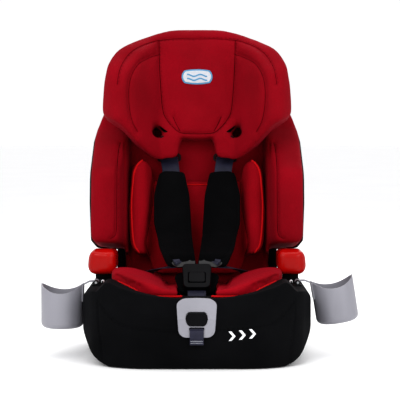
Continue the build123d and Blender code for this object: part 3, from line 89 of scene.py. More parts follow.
class Paint:
    """A node material under construction."""

    def __init__(self, name):
        self.material = bpy.data.materials.new(name)
        self.material.use_nodes = True
        self.nodes = self.material.node_tree.nodes
        self.links = self.material.node_tree.links
        self.shader = self.nodes["Principled BSDF"]
        self.coords = self.nodes.new("ShaderNodeTexCoord")

    def set(self, **values):
        for name, value in values.items():
            self.shader.inputs[name.replace("_", " ")].default_value = value
        return self

    def noise(self, scale, detail=3.0, stretch=None):
        node = self.nodes.new("ShaderNodeTexNoise")
        node.inputs["Scale"].default_value = scale
        node.inputs["Detail"].default_value = detail
        self.links.new(self.stretched(stretch), node.inputs["Vector"])
        return node.outputs["Fac"]

    def stretched(self, stretch):
        """Object coordinates, scaled along each axis where a stretch is given."""
        source = self.coords.outputs["Object"]
        if stretch is None:
            return source
        node = self.nodes.new("ShaderNodeMapping")
        node.inputs["Scale"].default_value = stretch
        self.links.new(source, node.inputs["Vector"])
        return node.outputs["Vector"]

    def bands(self, period, direction, kind="Object", distortion=0.0):
        """Stripes of a given period in metres."""
        node = self.nodes.new("ShaderNodeTexWave")
        node.wave_type = "BANDS"
        node.bands_direction = direction
        node.inputs["Scale"].default_value = WAVE_PERIOD / period
        node.inputs["Distortion"].default_value = distortion
        node.inputs["Detail"].default_value = 1.0
        self.links.new(self.coords.outputs[kind], node.inputs["Vector"])
        return node.outputs["Fac"]

    def math(self, operation, a, b):
        node = self.nodes.new("ShaderNodeMath")
        node.operation = operation
        for socket, value in zip(node.inputs, (a, b)):
            if isinstance(value, (int, float)):
                socket.default_value = value
            else:
                self.links.new(value, socket)
        return node.outputs[0]

    def spread(self, fac, low, high):
        """A 0 to 1 value spread between two numbers."""
        node = self.nodes.new("ShaderNodeMapRange")
        node.inputs["To Min"].default_value = low
        node.inputs["To Max"].default_value = high
        self.links.new(fac, node.inputs["Value"])
        return node.outputs["Result"]

    def colours(self, fac, low, high, start=0.35, end=0.65):
        node = self.nodes.new("ShaderNodeValToRGB")
        first, last = node.color_ramp.elements
        first.position, last.position = start, end
        first.color, last.color = (*low, 1), (*high, 1)
        self.links.new(fac, node.inputs["Fac"])
        return node.outputs["Color"]

    def shade(self, colour, fac, low, high):
        """A colour made darker or lighter by a 0 to 1 value."""
        node = self.nodes.new("ShaderNodeMix")
        node.data_type = "RGBA"
        node.blend_type = "MULTIPLY"
        node.inputs["Factor"].default_value = 1.0
        self.links.new(colour, node.inputs["A"])
        self.links.new(self.colours(fac, (low,) * 3, (high,) * 3, 0.2, 0.8), node.inputs["B"])
        return node.outputs["Result"]

    def bump(self, height, depth, strength, under=None):
        node = self.nodes.new("ShaderNodeBump")
        node.inputs["Distance"].default_value = depth
        node.inputs["Strength"].default_value = strength
        self.links.new(height, node.inputs["Height"])
        if under is not None:
            self.links.new(under, node.inputs["Normal"])
        return node.outputs["Normal"]

    def finish(self, colour, roughness, normal):
        self.links.new(colour, self.shader.inputs["Base Color"])
        self.links.new(roughness, self.shader.inputs["Roughness"])
        self.links.new(normal, self.shader.inputs["Normal"])
        return self.material


def knit(name, low, high, pitch, sheen, tint, gloss=0.08):
    """Knitted cover cloth: fine courses and wales, a little pilling, and slow colour changes."""
    paint = Paint(name).set(Sheen_Weight=sheen, Sheen_Roughness=0.45, Sheen_Tint=tint,
                            Specular_IOR_Level=gloss)
    wales = paint.bands(pitch, "X", distortion=0.6)
    courses = paint.bands(pitch * 0.8, "Z", distortion=0.6)
    weave = paint.math("MULTIPLY", wales, courses)
    cloudy = paint.colours(paint.noise(7.0), low, high)
    worn = paint.shade(cloudy, paint.noise(260.0, 2.0), 0.88, 1.0)
    threads = paint.shade(worn, weave, 0.80, 1.0)
    pilling = paint.bump(paint.noise(900.0, 2.0), 0.00025, 0.5)
    dullness = paint.spread(paint.noise(30.0), 0.72, 0.92)
    return paint.finish(threads, dullness, paint.bump(weave, 0.0004, 0.7, pilling))


def webbing(name, low, high):
    """Woven strap: ribs along its length and fine picks across, from the strap's own UVs."""
    paint = Paint(name).set(Sheen_Weight=0.05, Sheen_Roughness=0.4, Specular_IOR_Level=0.3)
    ribs = paint.bands(0.0022, "X", "UV")
    picks = paint.bands(0.0011, "Y", "UV")
    weave = paint.math("ADD", ribs, paint.math("MULTIPLY", picks, 0.5))
    colour = paint.shade(paint.colours(paint.noise(40.0), low, high), ribs, 0.72, 1.0)
    return paint.finish(colour, paint.spread(picks, 0.42, 0.62), paint.bump(weave, 0.0003, 0.8))


def plastic(name, low, high, rough, grain=0.00008, coat=0.0, gloss=0.5):
    """Moulded plastic: a spark-eroded grain, faint flow marks and rubbed, duller patches."""
    paint = Paint(name).set(Coat_Weight=coat, Coat_Roughness=0.08, IOR=1.49, Specular_IOR_Level=gloss)
    flow = paint.noise(14.0, 4.0, (1, 1, 0.35))
    colour = paint.shade(paint.colours(flow, low, high), paint.noise(1500.0, 1.0), 0.94, 1.0)
    worn = paint.spread(paint.noise(55.0, 4.0), rough * 0.85, rough * 1.2)
    return paint.finish(colour, worn, paint.bump(paint.noise(1700.0, 2.0), grain, 0.6))


def metal(name, low, high, rough, metallic=1.0, along=(1, 1, 1)):
    """Steel: drawn or plated, with fine lines and a cloudy plating."""
    paint = Paint(name).set(Metallic=metallic)
    lines = paint.noise(420.0, 4.0, along)
    colour = paint.shade(paint.colours(paint.noise(35.0), low, high), lines, 0.85, 1.0)
    dullness = paint.spread(lines, rough * 0.75, rough * 1.3)
    return paint.finish(colour, dullness, paint.bump(lines, 0.00006, 0.5))


RED_TINT = (1.0, 0.10, 0.20, 1)
RED = knit("red_knit", (0.225, 0.0008, 0.0070), (0.290, 0.0013, 0.0100), 0.0017, 0.06, RED_TINT)
# The same crimson cloth as the red knit, made lighter: painted light on the torso and seat inserts.
INSERT_RED_PAINTED_LIGHTER = knit("insert_knit_painted_lighter", (0.270, 0.0010, 0.0075), (0.340, 0.0016, 0.0105), 0.0021, 0.06, RED_TINT)
PIPING = knit("piping_cloth", (0.600, 0.0060, 0.0090), (0.680, 0.0090, 0.0120), 0.0009, 0.10,
              (1.0, 0.15, 0.20, 1))
THREAD = knit("stitch_thread", (0.110, 0.0006, 0.0040), (0.150, 0.0010, 0.0060), 0.0006, 0.05, RED_TINT)
# Dark red for thin tubes laid along the seams: painted shade, standing in for the shadow in the seam grooves.
SEAM_SHADE = knit("seam_shadow", (0.022, 0.0003, 0.0010), (0.034, 0.0005, 0.0015), 0.0006, 0.0, (1, 1, 1, 1), 0.0)
BLACK = knit("black_knit", (0.0035, 0.0036, 0.0042), (0.0060, 0.0061, 0.0070), 0.0019, 0.01,
             (0.7, 0.7, 0.8, 1), 0.04)
PADDING = knit("black_fleece", (0.0030, 0.0030, 0.0034), (0.0050, 0.0050, 0.0056), 0.0013, 0.01,
               (0.6, 0.6, 0.7, 1), 0.03)
WEBBING = webbing("navy_webbing", (0.012, 0.012, 0.030), (0.018, 0.018, 0.042))
BLACK_PLASTIC = plastic("grained_black", (0.004, 0.004, 0.0045), (0.007, 0.007, 0.0078), 0.48, gloss=0.12)
BLACK_GLOSS = plastic("smooth_black", (0.003, 0.003, 0.0036), (0.005, 0.005, 0.006), 0.36, 0.00003,
                      gloss=0.06)
RED_GLOSS = plastic("glossy_red", (0.330, 0.0018, 0.0010), (0.400, 0.0028, 0.0015), 0.24, 0.00003, 0.05, 0.16)
GREY = plastic("cool_grey", (0.215, 0.212, 0.240), (0.260, 0.257, 0.288), 0.42)
PLATED = metal("zinc_plated", (0.50, 0.51, 0.53), (0.62, 0.62, 0.63), 0.32, along=(0.2, 1, 1))
POWDER = metal("powder_coat", (0.006, 0.006, 0.0065), (0.010, 0.010, 0.011), 0.50, 0.1)
RUBBER = plastic("matt_rubber", (0.012, 0.012, 0.012), (0.018, 0.018, 0.018), 0.75, 0.0002)
# White for the printed chevrons, and for the pale pieces of painted highlight on the cup bracket tips.
WHITE_PRINT_AND_GLINT = plastic("white_print_and_glint", (0.78, 0.78, 0.80), (0.86, 0.86, 0.88), 0.50)
BLUE_THREAD = knit("blue_thread", (0.10, 0.32, 0.55), (0.14, 0.38, 0.62), 0.0008, 0.2, (0.8, 0.9, 1.0, 1))
WHITE_THREAD = knit("white_thread", (0.62, 0.64, 0.70), (0.74, 0.76, 0.80), 0.0008, 0.2, (1, 1, 1, 1))

BY_SLOT = {
    "red_fabric": RED, "black_fabric": BLACK, "black_padding": PADDING, "webbing": WEBBING,
    "black_plastic": BLACK_PLASTIC, "black_gloss_plastic": BLACK_GLOSS, "red_plastic": RED_GLOSS,
    "grey_plastic": GREY, "steel": PLATED, "painted_steel": POWDER, "grip_rubber": RUBBER,
}
SLOT_OF = {part["node"]: part["material_slot"] for part in frame["record"]["subparts"]}
BODY_OF = {node: body for body, nodes in frame["record"]["behaviour"]["bodies"].items() for node in nodes}

for node, carried in frame["nodes"].items():
    if not carried.data.materials:
        carried.data.materials.append(None)
    for holder in carried.material_slots:
        holder.link = "OBJECT"
        holder.material = POWDER if node.startswith("tongue_") else BY_SLOT[SLOT_OF[node]]


# ---- Mesh tools ------------------------------------------------------------------------------
WELD = 0.00001          # vertices nearer than this are one


def add_object(name, data):
    piece = bpy.data.objects.new(name, data)
    SCENE.collection.objects.link(piece)
    return piece


def add_mesh(name, points, faces, material, uvs=None):
    """A smooth-shaded mesh of one material; uvs has one pair for each vertex."""
    data = bpy.data.meshes.new(name)
    data.from_pydata([tuple(p) for p in points], [], faces)
    if uvs is not None:
        layer = data.uv_layers.new(name="UVMap")
        corners = np.empty(len(data.loops), np.int32)
        data.loops.foreach_get("vertex_index", corners)
        layer.data.foreach_set("uv", np.asarray(uvs, np.float32)[corners].ravel())
    data.polygons.foreach_set("use_smooth", [True] * len(data.polygons))
    data.update()
    data.materials.append(material)
    return add_object(name, data)


def cad_copy(name, node, flatten=0.0):
    """A welded copy of a CAD node, free to be changed. Faces that meet flatter than an angle are joined."""
    work = bmesh.new()
    work.from_mesh(frame["nodes"][node].data)
    bmesh.ops.remove_doubles(work, verts=work.verts, dist=WELD)
    if flatten:
        bmesh.ops.dissolve_limit(work, angle_limit=flatten, verts=work.verts, edges=work.edges)
    data = bpy.data.meshes.new(name)
    work.to_mesh(data)
    work.free()
    data.materials.clear()
    return add_object(name, data)


def apply_modifiers(piece):
    graph = bpy.context.evaluated_depsgraph_get()
    data = bpy.data.meshes.new_from_object(piece.evaluated_get(graph))
    piece.modifiers.clear()
    piece.data = data
    return piece


def remeshed(piece, voxel):
    modifier = piece.modifiers.new("voxels", "REMESH")
    modifier.mode = "VOXEL"
    modifier.voxel_size = voxel
    modifier.use_smooth_shade = True
    return apply_modifiers(piece)


def thickened(piece, thickness):
    """Gives a sheet a thickness, half on either side."""
    modifier = piece.modifiers.new("thickness", "SOLIDIFY")
    modifier.thickness = thickness
    modifier.offset = 0
    return apply_modifiers(piece)


def points_of(piece, what="co"):
    values = np.empty(len(piece.data.vertices) * 3, np.float32)
    piece.data.vertices.foreach_get(what, values)
    return values.reshape(-1, 3).astype(float)


def set_points(piece, points):
    piece.data.vertices.foreach_set("co", np.asarray(points, np.float32).ravel())
    piece.data.update()


def relax(piece, rounds, strength=0.5):
    """Moves every vertex towards the middle of its neighbours."""
    ends = np.empty(len(piece.data.edges) * 2, np.int32)
    piece.data.edges.foreach_get("vertices", ends)
    ends = ends.reshape(-1, 2)
    points = points_of(piece)
    count = len(points)
    degree = np.bincount(ends.ravel(), minlength=count)[:, None]
    for _ in range(rounds):
        total = np.stack([
            np.bincount(ends[:, 0], points[ends[:, 1], axis], count)
            + np.bincount(ends[:, 1], points[ends[:, 0], axis], count) for axis in range(3)
        ], axis=1)
        points = points + strength * (total / degree - points)
    set_points(piece, points)
    return piece


def swell(piece, out):
    """Moves a whole surface outwards."""
    set_points(piece, points_of(piece) + points_of(piece, "normal") * out)
    return piece


def block(piece, corners):
    """Adds a solid box to a mesh that is to be remeshed; corners run x, then depth, then rise."""
    work = bmesh.new()
    work.from_mesh(piece.data)
    v = [work.verts.new(corner) for corner in corners]
    for ring in ((0, 1, 3, 2), (4, 6, 7, 5), (0, 4, 5, 1), (2, 3, 7, 6), (0, 2, 6, 4), (1, 5, 7, 3)):
        work.faces.new([v[i] for i in ring])
    bmesh.ops.recalc_face_normals(work, faces=work.faces[-6:])
    work.to_mesh(piece.data)
    work.free()


def shade_smooth(piece):
    piece.data.polygons.foreach_set("use_smooth", [True] * len(piece.data.polygons))
    return piece


def surface_of(piece):
    return BVHTree.FromPolygons([v.co.copy() for v in piece.data.vertices],
                                [tuple(p.vertices) for p in piece.data.polygons])


def curved(points, step):
    """A smooth line through points, as points about a step apart."""
    points = [Vector(p) for p in points]
    line = []
    for i, (b, c) in enumerate(zip(points, points[1:])):
        a = points[i - 1] if i else b * 2 - c
        d = points[i + 2] if i + 2 < len(points) else c * 2 - b
        parts = max(1, round((c - b).length / step))
        for k in range(parts):
            t = k / parts
            line.append(0.5 * ((2 * b) + (c - a) * t + (2 * a - 5 * b + 4 * c - d) * t * t
                               + (3 * b - a - 3 * c + d) * t * t * t))
    line.append(points[-1])
    return line


def laid_on(surface, line, towards, reach=0.6, lift=0.0):
    """A line pushed along a direction onto a surface. Points that miss it are dropped."""
    towards = Vector(towards).normalized()
    laid = []
    for point in line:
        hit, normal, _, _ = surface.ray_cast(point - towards * reach, towards, 2 * reach)
        if hit is not None:
            laid.append(hit + normal * lift)
    return laid


def tube(line, radius, sides=8):
    """Vertices and faces of a round cord along a line."""
    count = len(line)
    points, faces = [], []
    across = Vector((0, 0, 1))
    for i, centre in enumerate(line):
        along = (line[min(i + 1, count - 1)] - line[max(i - 1, 0)]).normalized()
        across = across - along * across.dot(along)
        across = across.normalized() if across.length > 1e-6 else along.orthogonal().normalized()
        other = along.cross(across)
        for k in range(sides):
            turn = math.tau * k / sides
            points.append(centre + across * radius * math.cos(turn) + other * radius * math.sin(turn))
    for i in range(count - 1):
        for k in range(sides):
            a, b = i * sides + k, i * sides + (k + 1) % sides
            faces.append((a, b, b + sides, a + sides))
    faces.append(tuple(range(sides))[::-1])
    faces.append(tuple(range((count - 1) * sides, count * sides)))
    return points, faces


def joined(parts):
    """Several (vertices, faces) as one."""
    points, faces = [], []
    for more_points, more_faces in parts:
        start = len(points)
        points += more_points
        faces += [tuple(start + i for i in face) for face in more_faces]
    return points, faces


def finish_piece(piece, body, replaces=()):
    """Hangs a piece on the empty of the body it rides, and hides the CAD nodes it stands for."""
    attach(piece, body)
    if replaces:
        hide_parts(*replaces)
    return piece


def piping(name, body, lines, radius, material=PIPING):
    """Sewn cord edging along one or more lines. In the seam-shade material the cords are thin dark tubes of
    painted shade along seams.
    """
    points, faces = joined([tube(line, radius) for line in lines if len(line) > 2])
    return finish_piece(add_mesh(name, points, faces, material), body)


def stitches(name, body, surface, lines, towards, material):
    """Top stitching: short rounded threads in a row beside a seam."""
    aside, pitch, length, thread = 3 * MM, 7 * MM, 4 * MM, 0.35 * MM
    parts = []
    for line in lines:
        run = 0.0
        for a, b in zip(line, line[1:]):
            run += (b - a).length
            if run < pitch:
                continue
            run = 0.0
            along = (b - a).normalized()
            side = along.cross(Vector(towards)).normalized() * aside
            ends = laid_on(surface, [a + side, a + side + along * length], towards, 0.02, 0.1 * MM)
            if len(ends) == 2 and (ends[1] - ends[0]).length < 2 * length:
                middle = (ends[0] + ends[1]) / 2 - Vector(towards) * 0.35 * MM
                parts.append(tube([ends[0], middle, ends[1]], thread, sides=5))
    points, faces = joined(parts)
    return finish_piece(add_mesh(name, points, faces, material), body)


def relief(piece, seams, crown, reach, groove, width, facing, wrinkle=0.5 * MM, sink=0.5):
    """Fills a cushion out between its seams: deepest at a seam, highest away from every seam.

    crown is how far the cloth stands out far from a seam, reach how soon it does, groove and width the
    seam's own channel. Only what faces the given way is changed; wrinkle is the height of the cloth's
    ripples, which run strongest near seams. sink is the share of the crown that the whole face drops by.
    """
    tree_points = [p for line in seams for p in line]
    tree = KDTree(len(tree_points))
    for i, p in enumerate(tree_points):
        tree.insert(p, i)
    tree.balance()
    points, normals = points_of(piece), points_of(piece, "normal")
    facing = np.array(Vector(facing).normalized())
    turned = np.clip((normals @ facing + 0.15) / 0.5, 0, 1)
    lift = np.zeros(len(points))
    for i in np.nonzero(turned > 0)[0]:
        co = Vector(points[i])
        distance = tree.find(co)[2]
        near = math.exp(-distance / (2.2 * reach))
        ripple = noise.noise(co * 38) * 0.6 + noise.noise(co * 90) * 0.4 * near
        lift[i] = (crown * (1 - math.exp(-distance / reach) - sink)
                   - groove * math.exp(-((distance / width) ** 2)) + wrinkle * ripple * (0.4 + 1.2 * near))
    set_points(piece, points + normals * (lift * turned)[:, None])
    return piece


FORWARD = -DEPTH


# ---- Headrest --------------------------------------------------------------------------------
HEAD_PANEL = [(84, 558), (83, 511), (80, 454), (75, 402), (66, 381), (51, 363), (34, 352), (0, 350)]
HEAD_BAND = [(0, 563), (48, 563), (84, 558), (108, 547), (130, 532), (151, 508), (164, 476), (170, 440)]
HEAD_EAR = [(82, 527), (104, 512), (128, 488), (143, 450), (145, 405), (139, 366), (127, 342)]
HEAD_FOLD = [(53, 388), (45, 370), (37, 356)]
SLIT_X, SLIT_DEPTH, SLIT_RISE = (38, 75), (-96, -50), (330, 351)
FAR_FRONT = -400


def back_line(points, side=1, step=3 * MM):
    """A line in (x, rise), drawn in front of the backrest."""
    return curved([on_back(side * x, FAR_FRONT, w) for x, w in points], step)


def headrest():
    cushion = cad_copy("headrest_cushion", "headrest_cover")
    for side in (-1, 1):
        block(cushion, [on_back(side * x, depth, w)
                        for x in SLIT_X for depth in SLIT_DEPTH for w in SLIT_RISE])
    remeshed(cushion, 2.8 * MM)
    swell(relax(cushion, 38), 2.0 * MM)
    surface = surface_of(cushion)
    seams = []
    for side in (-1, 1):
        for points in (HEAD_PANEL, HEAD_BAND, HEAD_EAR, HEAD_FOLD):
            seams.append(laid_on(surface, back_line(points, side), DEPTH))
    relief(cushion, seams, 6 * MM, 16 * MM, 2.4 * MM, 3.2 * MM, FORWARD, 0.9 * MM)
    relax(cushion, 1, 0.4)
    cushion.data.materials.append(RED)
    finish_piece(shade_smooth(cushion), "headrest", ["headrest_cover"])
    surface = surface_of(cushion)

    def on_cushion(*outlines):
        return [laid_on(surface, back_line(points, side), DEPTH) for side in (-1, 1) for points in outlines]

    # The next two pieces are thin dark tubes along the seams: painted shade in the seam grooves.
    piping("headrest_seam_shade", "headrest", on_cushion(HEAD_PANEL, HEAD_FOLD), 0.7 * MM, SEAM_SHADE)
    piping("ear_seam_shade", "headrest", on_cushion(HEAD_BAND) + on_cushion(HEAD_EAR), 0.45 * MM, SEAM_SHADE)
    stitches("headrest_stitches", "headrest", surface, on_cushion(HEAD_PANEL, HEAD_BAND), DEPTH,
             THREAD)
    return surface


def patch(surface):
    """Plain woven patch: a white field with two waves, and a blue border."""
    half_w, half_h, middle = 34, 17, 476
    rows, cols = 17, 33
    round_off = 0.32
    wave_half, wave_height, wave_turns, wave_band = 22, 2.2, 5, 1.6

    def grid(name, grow, lift, material, shape=lambda u, v, x, w: (x, w)):
        points, faces, index = [], [], {}
        for j in range(rows):
            for i in range(cols):
                u, v = 2 * i / (cols - 1) - 1, 2 * j / (rows - 1) - 1
                # a squircle: the square's grid drawn round at the corners
                x = u * math.sqrt(1 - round_off * v * v) * (half_w + grow)
                w = v * math.sqrt(1 - round_off * u * u) * (half_h + grow) + middle
                x, w = shape(u, v, x, w)
                hit = laid_on(surface, [on_back(x, FAR_FRONT, w)], DEPTH, 0.6, lift)
                if hit:
                    index[i, j] = len(points)
                    points.append(hit[0])
        for j in range(rows - 1):
            for i in range(cols - 1):
                ring = [(i, j), (i + 1, j), (i + 1, j + 1), (i, j + 1)]
                if all(key in index for key in ring):
                    faces.append([index[key] for key in ring])
        piece = add_mesh(name, points, faces, material)
        finish_piece(shade_smooth(thickened(piece, 0.8 * MM)), "headrest")

    grid("patch_border", 0, 0.5 * MM, BLUE_THREAD)
    grid("patch_field", -3, 1.0 * MM, WHITE_THREAD)
    for number, height in enumerate((-6, 3)):
        grid(f"patch_wave_{number + 1}", -8, 1.5 * MM, BLUE_THREAD, lambda u, v, x, w, h=height: (
            u * wave_half, middle + h + wave_height * math.sin(u * wave_turns) + v * wave_band))


patch(headrest())


# ---- Backrest --------------------------------------------------------------------------------
WING_SEAMS = [
    [(168, 330), (171, 300), (171, 200), (172, 128), (184, 112)],
    [(157, 330), (157, 280), (156, 200), (156, 112)],
]


def backrest():
    cushion = remeshed(cad_copy("back_cushion", "back_cover"), 3.0 * MM)
    swell(relax(cushion, 30), 1.8 * MM)
    surface = surface_of(cushion)
    seams = [laid_on(surface, back_line(points, side), DEPTH) for side in (-1, 1) for points in WING_SEAMS]
    relief(cushion, seams, 4 * MM, 14 * MM, 2.2 * MM, 3 * MM, FORWARD, 0.9 * MM)
    relax(cushion, 1, 0.4)
    cushion.data.materials.append(RED)
    finish_piece(shade_smooth(cushion), "backrest", ["back_cover"])
    surface = surface_of(cushion)
    lines = [laid_on(surface, back_line(WING_SEAMS[0], side), DEPTH) for side in (-1, 1)]
    # Thin dark tubes along the wing seams: painted shade in the seam grooves.
    piping("back_seam_shade", "backrest", lines, 0.6 * MM, SEAM_SHADE)
    stitches("back_stitches", "backrest", surface, lines, DEPTH, THREAD)


TORSO_EDGE = [(130, 88), (142, 112), (147, 180), (145, 230), (140, 268), (124, 290), (104, 283)]
TORSO_INNER = [(93, 276), (96, 232), (99, 190), (105, 150), (111, 110), (104, 84)]
TORSO_CROSS = [(0, 243), (40, 243), (80, 243)]


def torso():
    pad = remeshed(cad_copy("torso_cushion", "torso_insert"), 2.6 * MM)
    relax(pad, 10)
    surface = surface_of(pad)
    seams = [laid_on(surface, back_line(points, side), DEPTH) for side in (-1, 1)
             for points in (TORSO_INNER, TORSO_CROSS)]
    relief(pad, seams, 5 * MM, 12 * MM, 2.4 * MM, 3 * MM, FORWARD, 0.8 * MM, 0.35)
    relax(pad, 1, 0.4)
    # Lighter red: painted light on the torso insert.
    pad.data.materials.append(INSERT_RED_PAINTED_LIGHTER)
    finish_piece(shade_smooth(pad), "backrest", ["torso_insert"])
    surface = surface_of(pad)
    outer = [(x - 5, w) for x, w in TORSO_EDGE]
    edges = [laid_on(surface, back_line(outer, side), DEPTH, 0.6, 0.8 * MM) for side in (-1, 1)]
    piping("torso_piping", "backrest", edges, 2.0 * MM)
    cross = laid_on(surface, back_line(mirrored(TORSO_CROSS)), DEPTH, 0.6, 0.6 * MM)
    piping("torso_cross_piping", "backrest", [cross], 1.7 * MM)
    lines = [laid_on(surface, back_line(TORSO_INNER, side), DEPTH) for side in (-1, 1)]
    # Thin dark tubes along the inner seams: painted shade in the seam grooves.
    piping("torso_seam_shade", "backrest", lines, 0.6 * MM, SEAM_SHADE)
    stitches("torso_stitches", "backrest", surface, lines, DEPTH, THREAD)


backrest()
torso()


# ---- Seat ------------------------------------------------------------------------------------
DOWN = Vector((0, 0, -1))
LOBE_EDGE = [
    (31, -150), (31, -168), (67, -171), (83, -169.5), (97.6, -162.7), (116, -150), (126, -141), (166, -93),
    (172, -83), (174.5, -72), (177.5, 2), (176, 13.6), (171, 23.4), (145, 60), (136, 68), (126, 72),
    (100, 77.4), (68, 83),
]
LOBE_INNER = [(52, -146), (60, -90), (68, -20), (70, 60)]
ABOVE_SEAT = 0.3
FRONT_SEAM = [(0, 76), (60, 77), (114, 81), (150, 88), (176, 106), (194, 130)]
SIDE_SEAM = [(186, 8), (190, 50), (195, 90), (196, 132)]


def seat():
    cover = remeshed(cad_copy("seat_fabric", "seat_cover"), 2.2 * MM)
    relax(cover, 5)
    surface = surface_of(cover)
    ahead = Vector((0, 1, 0))
    front = [curved([Vector((side * x * MM, -0.5, z * MM)) for x, z in points], 3 * MM)
             for side in (-1, 1) for points in (FRONT_SEAM, SIDE_SEAM)]
    seams = [laid_on(surface, line, ahead) for line in front]
    relief(cover, seams, 1.6 * MM, 14 * MM, 1.4 * MM, 2.4 * MM, -ahead, 0.7 * MM)
    cover.data.materials.append(BLACK)
    finish_piece(shade_smooth(cover), "base", ["seat_cover"])
    surface = surface_of(cover)
    stitches("seat_stitches", "base", surface, [laid_on(surface, line, ahead) for line in front], ahead,
             PADDING)
    chevrons(surface, ahead)

    pad = remeshed(cad_copy("seat_cushion", "seat_insert"), 2.6 * MM)
    relax(pad, 12)
    edges, inner = ([[Vector((side * x * MM, y * MM, ABOVE_SEAT)) for x, y in plan] for side in (-1, 1)]
                    for plan in (LOBE_EDGE, LOBE_INNER))
    pad_surface = surface_of(pad)
    seams = [laid_on(pad_surface, curved(line, 3 * MM), DOWN) for line in edges + inner]
    relief(pad, seams, 7 * MM, 20 * MM, 1.8 * MM, 3 * MM, (0, -0.3, 1), 0.8 * MM, 0.45)
    relax(pad, 1, 0.4)
    # Lighter red: painted light on the seat insert.
    pad.data.materials.append(INSERT_RED_PAINTED_LIGHTER)
    finish_piece(shade_smooth(pad), "base", ["seat_insert"])
    welt = []
    for line in edges:
        outside = [p + Vector((math.copysign(2.0, p.x) * MM, 0, 0)) for p in line]
        welt.append(laid_on(surface, curved(outside, 3 * MM), DOWN, 0.4, 2.4 * MM))
    piping("seat_piping", "base", welt, 2.0 * MM)


def chevrons(surface, towards):
    """Three plain white chevrons printed on the front of the base, each of two arms drawn as a grid."""
    first_x, pitch, height, climb = 62, 20, 60, 0.1
    arms = [((0, 9), (6, 9), (14, 0), (8, 0)), ((8, 0), (14, 0), (6, -9), (0, -9))]
    steps = 5
    parts = []
    for x0 in range(first_x, first_x + 3 * pitch, pitch):
        for arm in arms:
            points, faces = [], []
            for j in range(steps):
                for i in range(steps):
                    s, t = i / (steps - 1), j / (steps - 1)
                    low = Vector(arm[0]).lerp(Vector(arm[1]), s)
                    high = Vector(arm[3]).lerp(Vector(arm[2]), s)
                    x, z = low.lerp(high, t)
                    start = Vector(((x0 + x) * MM, -0.5, (height + z + climb * x0) * MM))
                    points.append(laid_on(surface, [start], towards, 0.6, 0.5 * MM)[0])
            for j in range(steps - 1):
                for i in range(steps - 1):
                    a = j * steps + i
                    faces.append((a, a + 1, a + steps + 1, a + steps))
            parts.append((points, faces))
    points, faces = joined(parts)
    piece = thickened(add_mesh("front_chevrons", points, faces, WHITE_PRINT_AND_GLINT), 0.6 * MM)
    finish_piece(piece, "base")


seat()


# ---- Harness ---------------------------------------------------------------------------------
WEB_THICK = 1.5 * MM


def strap(name, stations, step=4 * MM):
    """Webbing with rounded edges through (centre, direction across, width) stations."""
    line = curved([s[0] for s in stations], step)
    marks = np.cumsum([0.0] + [(b - a).length for a, b in zip(line, line[1:])])
    nearest = [min(range(len(line)), key=lambda i, c=s[0]: (line[i] - Vector(c)).length) for s in stations]
    at = [marks[i] for i in nearest]
    sides = [-1, -0.92, 0.92, 1, 0.92, -0.92]
    heights = [0, 0.5, 0.5, 0, -0.5, -0.5]
    points, faces, uvs = [], [], []
    for i, centre in enumerate(line):
        across = Vector([np.interp(marks[i], at, [Vector(s[1]).normalized()[k] for s in stations])
                         for k in range(3)])
        width = float(np.interp(marks[i], at, [s[2] for s in stations]))
        along = (line[min(i + 1, len(line) - 1)] - line[max(i - 1, 0)]).normalized()
        across = (across - along * across.dot(along)).normalized()
        normal = across.cross(along)
        for u, h in zip(sides, heights):
            points.append(centre + across * (u * width / 2) + normal * (h * WEB_THICK))
            uvs.append((u * width / 2, marks[i]))
    ring = len(sides)
    for i in range(len(line) - 1):
        for k in range(ring):
            a, b = i * ring + k, i * ring + (k + 1) % ring
            faces.append((a, b, b + ring, a + ring))
    faces.append(tuple(range(ring))[::-1])
    faces.append(tuple(range((len(line) - 1) * ring, len(line) * ring)))
    return add_mesh(name, points, faces, WEBBING, uvs)


SLOT_RISE, SLOT_X = 305, 62
BUCKLE = Vector((0, -62, 161)) * MM
BUCKLE_TILT = math.radians(50)
BUCKLE_UP = Vector((0, math.sin(BUCKLE_TILT), math.cos(BUCKLE_TILT)))
BUCKLE_IN = Vector((0, math.cos(BUCKLE_TILT), -math.sin(BUCKLE_TILT)))
# The lower end of a shoulder pad: where its stretch begins, over what rise it grows, how far it goes down
# and out, and how much wider it gets on either side of its inner edge
PAD_STRETCH_FROM, PAD_STRETCH_OVER = 130, 66
PAD_DOWN, PAD_OUT, PAD_SPREAD, PAD_INNER_X = 36, 9, 0.12, 20


def on_buckle(x, depth, up):
    """A point in the buckle's own millimetres, in the row frame."""
    return BUCKLE + Vector((x * MM, 0, 0)) + BUCKLE_IN * depth * MM + BUCKLE_UP * up * MM


def tongue_across(side):
    """The direction across the webbing in a tongue's eye."""
    return Vector((side * 0.73, -0.52, -0.44))


